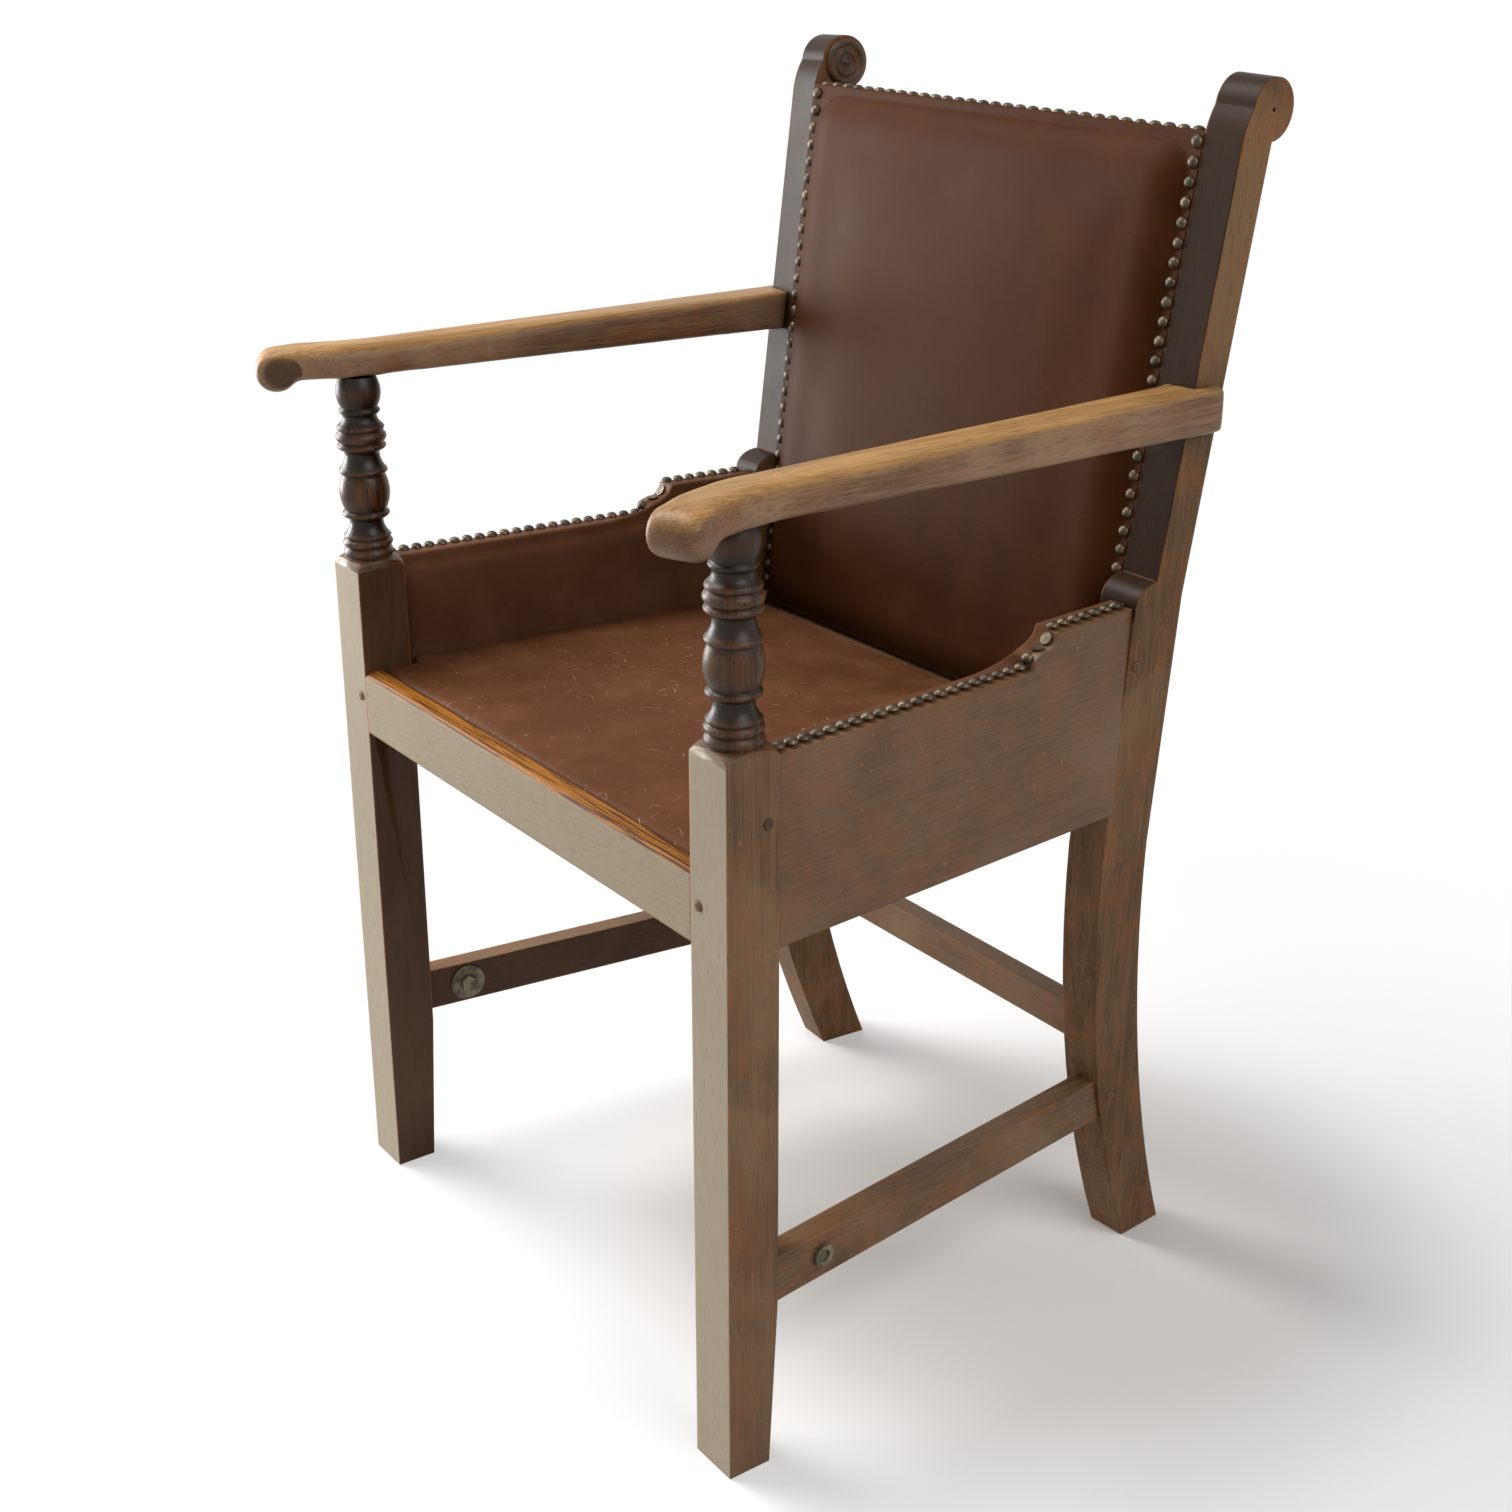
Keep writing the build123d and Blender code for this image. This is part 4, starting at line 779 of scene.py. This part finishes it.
# the skirt goes straight down and its hem turns in under the frame
makeActive(seatLeather)
bpy.ops.object.mode_set(mode="EDIT")
bpy.ops.mesh.select_mode(type="EDGE")
bpy.ops.mesh.select_all(action="DESELECT")
bpy.ops.mesh.select_non_manifold()
for step in range(3):
    bpy.ops.mesh.extrude_edges_move()
    bpy.ops.object.mode_set(mode="OBJECT")
    border = [v for v in seatLeather.data.vertices if v.select]
    for vertex in border:
        if step < 2:
            top = seatPiece["edge"] - seatPiece["round"]
            vertex.co.z = top + (seatPiece["foot"] - top) * (0.15, 1.0)[step]
        else:
            inward = Vector((-math.copysign(seatPiece["hem"], vertex.co.x), 0, 0))
            if vertex.co.y < seatFront + 1 * mm or vertex.co.y > seatRear - 1 * mm:
                inward.y = math.copysign(seatPiece["hem"], (seatFront + seatRear) / 2 - vertex.co.y)
                inward.x *= max(0.0, 1 - (seatHalf(vertex.co.y) - abs(vertex.co.x)) / seatPiece["hem"])
            vertex.co += inward
    bpy.ops.object.mode_set(mode="EDIT")
bpy.ops.object.mode_set(mode="OBJECT")
finishSheet(seatLeather, seatPiece["leather"], leatherSeat, "seat",
            ["seat_leather", "seat_stuffing"])
print("seat leather made")

# Under the seat: hessian over straps that pass over and under each other.
strapPiece = {"thickness": 1.2 * mm, "weave": 0.75 * mm, "steps": 90, "columns": 8}


def strapBoxes(name):
    boxes = []
    for part in looseParts(name):
        points = [p for normal, area, corners in part for p in corners]
        boxes.append([Vector([pick(p[i] for p in points) for i in range(3)]) for pick in (min, max)])
    return boxes


crossBoxes = sorted(strapBoxes("seat_cross_webbing"), key=lambda b: b[0].y)
longBoxes = sorted(strapBoxes("seat_long_webbing"), key=lambda b: b[0].x)
strapLevel = (crossBoxes[0][1].z + longBoxes[0][0].z) / 2


def makeStraps(name, boxes, others, axis, sign, node):
    other = 1 - axis
    first = (others[0][0][axis] + others[0][1][axis]) / 2
    pitch = (others[1][0][axis] - others[0][0][axis])
    straps = []
    for index, (low, high) in enumerate(boxes):
        def place(across, along):
            point = Vector((0, 0, strapLevel + strapPiece["thickness"] / 2))
            if axis == 0:
                across = 1 - across
            point[axis] = low[axis] + along * (high[axis] - low[axis])
            point[other] = low[other] + across * (high[other] - low[other])
            wave = math.cos(math.pi * (point[axis] - first) / pitch) * (-1) ** index
            point.z += sign * strapPiece["weave"] * wave
            return point
        strap = makeSheet(name, strapPiece["columns"], strapPiece["steps"], place)
        applyModifier(strap, "SOLIDIFY", {"thickness": strapPiece["thickness"], "offset": -1})
        straps.append(strap)
    finishPiece(joinPieces(straps, name), 40, juteWebbing, "seat", [node])


hessianPiece = {"columns": 60, "rows": 48, "thickness": 0.9 * mm, "edge": 2 * mm, "slack": 0.5 * mm}
hessianLow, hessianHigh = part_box("seat_hessian")


def hessianPlace(across, up):
    y = hessianLow[1] + up * (hessianHigh[1] - hessianLow[1])
    half = seatHalf(y) - hessianPiece["edge"]
    x = (across * 2 - 1) * half
    belly = (1 - (2 * across - 1) ** 4) * (1 - (2 * up - 1) ** 4)
    return Vector((x, y, hessianHigh[2] + hessianPiece["slack"] * belly * noise.noise(Vector((x * 30, y * 30, 1)))))


hessianSheet = makeSheet("seatHessian", hessianPiece["columns"], hessianPiece["rows"], hessianPlace)
finishSheet(hessianSheet, hessianPiece["thickness"], juteHessian, "seat", ["seat_hessian"])

makeStraps("seatCrossStraps", crossBoxes, longBoxes, 0, 1, "seat_cross_webbing")
makeStraps("seatLongStraps", longBoxes, crossBoxes, 1, -1, "seat_long_webbing")
print("straps woven")

# Leather linings of the side panels: padded inside, turned over the panel's top edge.
liningPiece = {"columns": 130, "rows": 60, "swell": 5.0 * mm, "margin": 9 * mm, "rise": 12 * mm, "flat": 2 * mm,
               "strip": 15.5 * mm, "bend": 2.5 * mm, "leather": 1.7 * mm, "liftCap": 1.0 * mm, "pinReach": 5 * mm,
               "bridge": 18 * mm, "bridgeDown": 4 * mm, "uneven": 0.4 * mm, "places": 1200}


def bridgeHollow(line, radius):
    # leather bridges a hollow in the edge, as a disc rolled along it from above would
    step = line[1][0] - line[0][0]
    reach = int(radius / step)
    disc = [(k, math.sqrt(radius ** 2 - (k * step) ** 2)) for k in range(-reach, reach + 1, 3)]
    rolled = [max(line[i + k][1] + lift for k, lift in disc if 0 <= i + k < len(line)) for i in range(len(line))]
    return [max(line[i][1], min(rolled[i + k] - lift for k, lift in disc if 0 <= i + k < len(line)))
            for i in range(len(line))]


def makeLining(side):
    sign = 1 if side == "left" else -1
    node = "side_lining_leather_" + side
    look = liningPiece
    edges = nodeEdges(node)
    inward = Vector((-0.9962 * sign, -0.0872, 0))
    along = Vector((-0.0872 * sign, 0.9962, 0))
    up = Vector((0, 0, 1))
    panelPoints = [v.co.copy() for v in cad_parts["side_panel_" + side].data.vertices]
    panelFace = max(p.dot(inward) for p in panelPoints)
    levels = [p.dot(along) for e in edges for p in e]
    front, rear = min(levels), max(levels)
    foot = min(p.z for e in edges for p in e)
    footRear = spanAt(edges, up, along, foot + mm)[1]
    # the top edge, as evenly spaced places along its own line
    line = []
    for index in range(look["places"] + 1):
        level = front + (rear - front) * index / look["places"]
        level = min(max(level, front + 0.2 * mm), rear - 0.2 * mm)
        line.append((level, spanAt(edges, along, up, level)[1]))
    bridge = bridgeHollow(line, look["bridge"])
    lengths = [0.0]
    for (a, b), (c, d) in zip(line, line[1:]):
        lengths.append(lengths[-1] + math.hypot(c - a, d - b))
    stops = {"level": [(s / lengths[-1], p[0]) for s, p in zip(lengths, line)],
             "height": [(s / lengths[-1], p[1]) for s, p in zip(lengths, line)],
             "bridge": [(s / lengths[-1], height) for s, height in zip(lengths, bridge)]}
    edgeTree = kdtree.KDTree(len(line))
    for index, (level, height) in enumerate(zip((p[0] for p in line), bridge)):
        edgeTree.insert((level, height, 0), index)
    edgeTree.balance()
    tops = {}

    def place(across, rise):
        if sign > 0:
            across = 1 - across
        key = round(across, 5)
        if key not in tops:
            tops[key] = [ramp(across, stops[part]) for part in ("level", "height", "bridge")]
        topLevel, edgeTop, bridgeTop = tops[key]
        bend = look["bend"]
        face = ramp(rise, [(0, 0), (0.66, 0.9), (0.8, 1), (1, 1)])
        past = ramp(rise, [(0, 0), (0.8, 0), (0.9, bend * math.pi / 2), (1, look["strip"])])
        turn = min(past / bend, math.pi / 2)
        down = min(1.0, max(0.0, past - bend * math.pi / 2) / look["bridgeDown"])
        top = bridgeTop + (edgeTop - bridgeTop) * down
        footLevel = front + across * (footRear - front)
        level = footLevel + (topLevel - footLevel) * face
        z = foot + (top - bend - foot) * face + bend * math.sin(turn)
        gaps = [edgeTree.find((level, z, 0))[2] if turn == 0 else 0.0, level - front,
                footRear + (rear - footRear) * face - level]
        out = look["flat"] + look["swell"] * puff(gaps, look["margin"], look["rise"])
        out += look["uneven"] * noise.noise(Vector((level * 12, z * 12, 5.0))) * (turn == 0)
        back = bend * (1 - math.cos(turn)) + max(0.0, past - bend * math.pi / 2)
        return along * level + inward * (panelFace + out - back) + up * z

    pins = nailTree("panel_nails_" + side)

    def held(point):
        level = point.dot(along)
        edge = edgeTree.find((level, point.z, 0))[2] < 4 * mm or point.dot(inward) < panelFace + mm
        ends = level - front < 3 * mm or rear - level < 6 * mm or point.z < foot + 5 * mm
        return edge or ends or pins.find(point)[2] < look["pinReach"]

    lining = makeSheet("liningLeather" + side.capitalize(), look["columns"], look["rows"], place)
    inflate(lining, inward, held, look["liftCap"])
    finishSheet(lining, look["leather"], leatherLining, "chair",
                [node, "side_lining_pad_" + side])


for side in ("left", "right"):
    makeLining(side)
print("side linings made")


def copyOf(name, newName):
    # a node's mesh as a new piece, with its loose triangles joined
    piece = bpy.data.objects.new(newName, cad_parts[name].data.copy())
    bpy.context.collection.objects.link(piece)
    mergePoints(piece, samePoint)
    return piece


# Arms: the corners are worn round, but left as they are where they meet the post and the turned support.
armPiece = {"voxel": 1.8 * mm, "wear": 0.5, "turns": 46, "clear": 3 * mm, "fade": 9 * mm, "least": 0.1}


def makeArm(side):
    arm = copyOf("arm_" + side, "arm" + side.capitalize())
    applyModifier(arm, "REMESH", {"mode": "VOXEL", "voxel_size": armPiece["voxel"]})
    neighbors = []
    for name in ("rear_post_" + side, "front_leg_" + side):
        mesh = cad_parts[name].data
        faces = [p.vertices for p in mesh.polygons]
        neighbors.append(bvhtree.BVHTree.FromPolygons([v.co for v in mesh.vertices], faces))
    soft = arm.vertex_groups.new(name="soft")
    for vertex in arm.data.vertices:
        gap = min(tree.find_nearest(vertex.co)[3] for tree in neighbors)
        share = min(1.0, max(armPiece["least"], (gap - armPiece["clear"]) / armPiece["fade"]))
        soft.add([vertex.index], share, "REPLACE")
    applyModifier(arm, "SMOOTH", {
        "factor": armPiece["wear"], "iterations": armPiece["turns"], "vertex_group": "soft"})
    arm.vertex_groups.clear()
    finishPiece(arm, 40, oakArm, "chair", ["arm_" + side])


for side in ("left", "right"):
    makeArm(side)
print("arms worn round")

# Front legs: each turned feature from the square up, as its height, the radius at its middle and at its top.
legPiece = {"base": 548.0 * mm, "baseRadius": 18.2, "segments": 56, "steps": 8, "merge": 0.02 * mm, "features": [
    (8.0, 19.6, 17.0), (7.0, 19.6, 17.0), (2.0, 18.0, 18.6), (12.0, 14.4, 13.2), (3.0, 13.8, 16.2),
    (5.5, 18.6, 16.2), (29.0, 19.7, 16.5), (5.0, 18.9, 17.6), (10.5, 14.6, 13.6), (4.0, 14.0, 16.4),
    (5.5, 19.1, 16.8), (9.5, 19.7, 16.7), (4.5, 18.4, 17.2), (6.5, 14.3, 13.3), (2.5, 13.5, 14.6),
    (4.5, 16.0, 14.0), (24.5, 17.4, 14.0)]}
turnedLine = [(legPiece["base"], legPiece["baseRadius"] * mm)]
for rise, middle, top in legPiece["features"]:
    height, radius = turnedLine[-1]
    for step in range(1, legPiece["steps"] + 1):
        t = step / legPiece["steps"]
        curve = radius * (1 - t) * (1 - 2 * t) + middle * mm * 4 * t * (1 - t) + top * mm * t * (2 * t - 1)
        turnedLine.append((height + rise * mm * t, curve))


def makeLeg(side):
    sign = 1 if side == "left" else -1
    square = copyOf("front_leg_" + side, "frontLeg" + side.capitalize())
    bpy.ops.object.mode_set(mode="EDIT")
    bpy.ops.mesh.select_all(action="SELECT")
    bpy.ops.mesh.bisect(plane_co=(0, 0, legPiece["base"]), plane_no=(0, 0, 1), clear_outer=True, use_fill=True)
    bpy.ops.object.mode_set(mode="OBJECT")

    def place(around, up):
        height, radius = turnedLine[round(up * (len(turnedLine) - 1))]
        angle = 2 * math.pi * around
        return Vector((sign * turnedPart["axis"][0] + radius * math.cos(angle),
                       turnedPart["axis"][1] + radius * math.sin(angle), height))

    support = makeSheet("turnedSupport", legPiece["segments"], len(turnedLine) - 1, place)
    leg = joinPieces([square, support], square.name)
    mergePoints(leg, legPiece["merge"])
    finishPiece(leg, 18, oakLeg, "chair", ["front_leg_" + side])


for side in ("left", "right"):
    makeLeg(side)
print("legs turned")

# Domed nail heads: one is turned, then copied to each place where a node has a nail.
nailPiece = {"radius": 4.6 * mm, "height": 3.0 * mm, "segments": 12, "rings": 6, "tilt": 0.06, "uneven": 0.04}
deselectAll()
bpy.ops.mesh.primitive_uv_sphere_add(segments=nailPiece["segments"], ring_count=nailPiece["rings"],
                                     radius=nailPiece["radius"])
nailHead = bpy.context.object
nailHead.name = "nailHead"
bpy.ops.object.mode_set(mode="EDIT")
bpy.ops.mesh.select_all(action="SELECT")
bpy.ops.mesh.bisect(plane_co=(0, 0, 0), plane_no=(0, 0, 1), use_fill=True, clear_inner=True)
bpy.ops.mesh.select_all(action="SELECT")
bpy.ops.transform.resize(value=(1, 1, nailPiece["height"] / nailPiece["radius"]))
bpy.ops.object.mode_set(mode="OBJECT")
bpy.ops.object.shade_smooth_by_angle(angle=math.radians(60))


def makeNails(name):
    heads = []
    for middle, way in nails[name]:
        head = nailHead.copy()
        head.data = nailHead.data.copy()
        bpy.context.collection.objects.link(head)
        size = 1 + random.uniform(-1, 1) * nailPiece["uneven"]
        lean = Vector([random.uniform(-1, 1) * nailPiece["tilt"] for _ in range(3)])
        turn = (way + lean).to_track_quat("Z", "Y").to_matrix().to_4x4()
        spin = Matrix.Rotation(random.uniform(0, math.pi), 4, "Z")
        head.data.transform(Matrix.Translation(middle) @ turn @ spin @ Matrix.Scale(size, 4))
        heads.append(head)
    row = joinPieces(heads, "nailHeads_" + name)
    finishPiece(row, None, brassNail, "chair", [name])  # the heads are shaded already


for name in nailNames:
    makeNails(name)
bpy.data.objects.remove(nailHead)
print("nail heads placed")

# Pale floor: white to the camera away from the chair, and it keeps the chair's shadow near it.
floorLook = {"size": 14.0, "color": "#dddbd9", "rough": 0.9, "drop": 0.4 * mm, "middle": (0.15, 0.18, 0),
             "clear": ((0.22, 0.0), (0.42, 0.45), (0.95, 1.0))}  # share of plain white at each distance, in metres
deselectAll()
bpy.ops.mesh.primitive_plane_add(size=floorLook["size"], location=(0, 0, -floorLook["drop"]))
floor = bpy.context.object
floor.name = "studioFloor"
floorPaint, tree, shader = newMaterial("paintedFloor")
output = tree.nodes["Material Output"]
shader.inputs["Base Color"].default_value = hexColor(floorLook["color"])
shader.inputs["Roughness"].default_value = floorLook["rough"]
place = addNode(tree, "TexCoord").outputs["Object"]
away = addNode(tree, "VectorMath", {"operation": "DISTANCE"}, {0: place, 1: floorLook["middle"]})
fade = addNode(tree, "ValToRGB", {}, {"Fac": away.outputs["Value"]})
fade.color_ramp.interpolation = "EASE"
fade.color_ramp.elements.new(0.5)
for stop, (distance, white) in zip(fade.color_ramp.elements, floorLook["clear"]):
    stop.position = distance
    stop.color = (white, white, white, 1)


def seenRays(tree):
    # what the camera, a mirror or glass sees
    rays = addNode(tree, "LightPath")
    mirrored = addNode(tree, "Math", {"operation": "MAXIMUM"}, {
        0: rays.outputs["Is Glossy Ray"], 1: rays.outputs["Is Transmission Ray"]})
    return addNode(tree, "Math", {"operation": "MAXIMUM"}, {
        0: rays.outputs["Is Camera Ray"], 1: mirrored}).outputs[0]


share = addNode(tree, "Math", times, {0: seenRays(tree), 1: fade})
glow = addNode(tree, "Emission", {}, {"Color": (1, 1, 1, 1), "Strength": 1.0})
blendWhite = addNode(tree, "MixShader", {}, {0: share, 1: shader, 2: glow})
tree.links.new(blendWhite.outputs[0], output.inputs["Surface"])
dress(floor, floorPaint)

# Soft studio light: one above the front right, a tall soft box low at the right, and a weak fill at the left.
lampAim = Vector((0, 0, 0.5))
ambientStrength = 0.28
lampLook = {
    "key": {"place": (-1.35, -0.85, 2.95), "wide": 1.6, "tall": 1.6, "power": 92},
    "window": {"place": (-2.2, -1.0, 0.9), "wide": 1.1, "tall": 1.6, "power": 80},
    "fill": {"place": (2.4, 0.3, 2.4), "wide": 1.8, "tall": 1.8, "power": 50},
}
for name, look in lampLook.items():
    deselectAll()
    bpy.ops.object.light_add(type="AREA", location=look["place"])
    lamp = bpy.context.object
    lamp.name = name + "Lamp"
    lamp.data.shape = "RECTANGLE"
    lamp.data.size = look["wide"]
    lamp.data.size_y = look["tall"]
    lamp.data.energy = look["power"]
    aim = lampAim - Vector(look["place"])
    lamp.rotation_euler = aim.to_track_quat("-Z", "Y").to_euler()

room = bpy.data.worlds.new("paleRoom")
scene.world = room
room.use_nodes = True
tree = room.node_tree
ambient = tree.nodes["Background"]
ambient.inputs["Color"].default_value = (1, 1, 1, 1)
ambient.inputs["Strength"].default_value = ambientStrength
white = addNode(tree, "Background", {}, {"Color": (1, 1, 1, 1), "Strength": 1.0})
roomMix = addNode(tree, "MixShader", {}, {0: seenRays(tree), 1: ambient, 2: white})
tree.links.new(roomMix.outputs[0], tree.nodes["World Output"].inputs["Surface"])

# The photograph's camera.
cameraLook = {"place": (1.28876, -0.93474, 1.05409), "turn": (67.97, 0, 54.04), "lens": 52.28}
deselectAll()
bpy.ops.object.camera_add(location=cameraLook["place"], rotation=[math.radians(a) for a in cameraLook["turn"]])
camera = bpy.context.object
camera.data.lens = cameraLook["lens"]
camera.data.sensor_width = 36
camera.data.clip_start = 0.05
scene.camera = camera
print("floor, lamps and camera set")
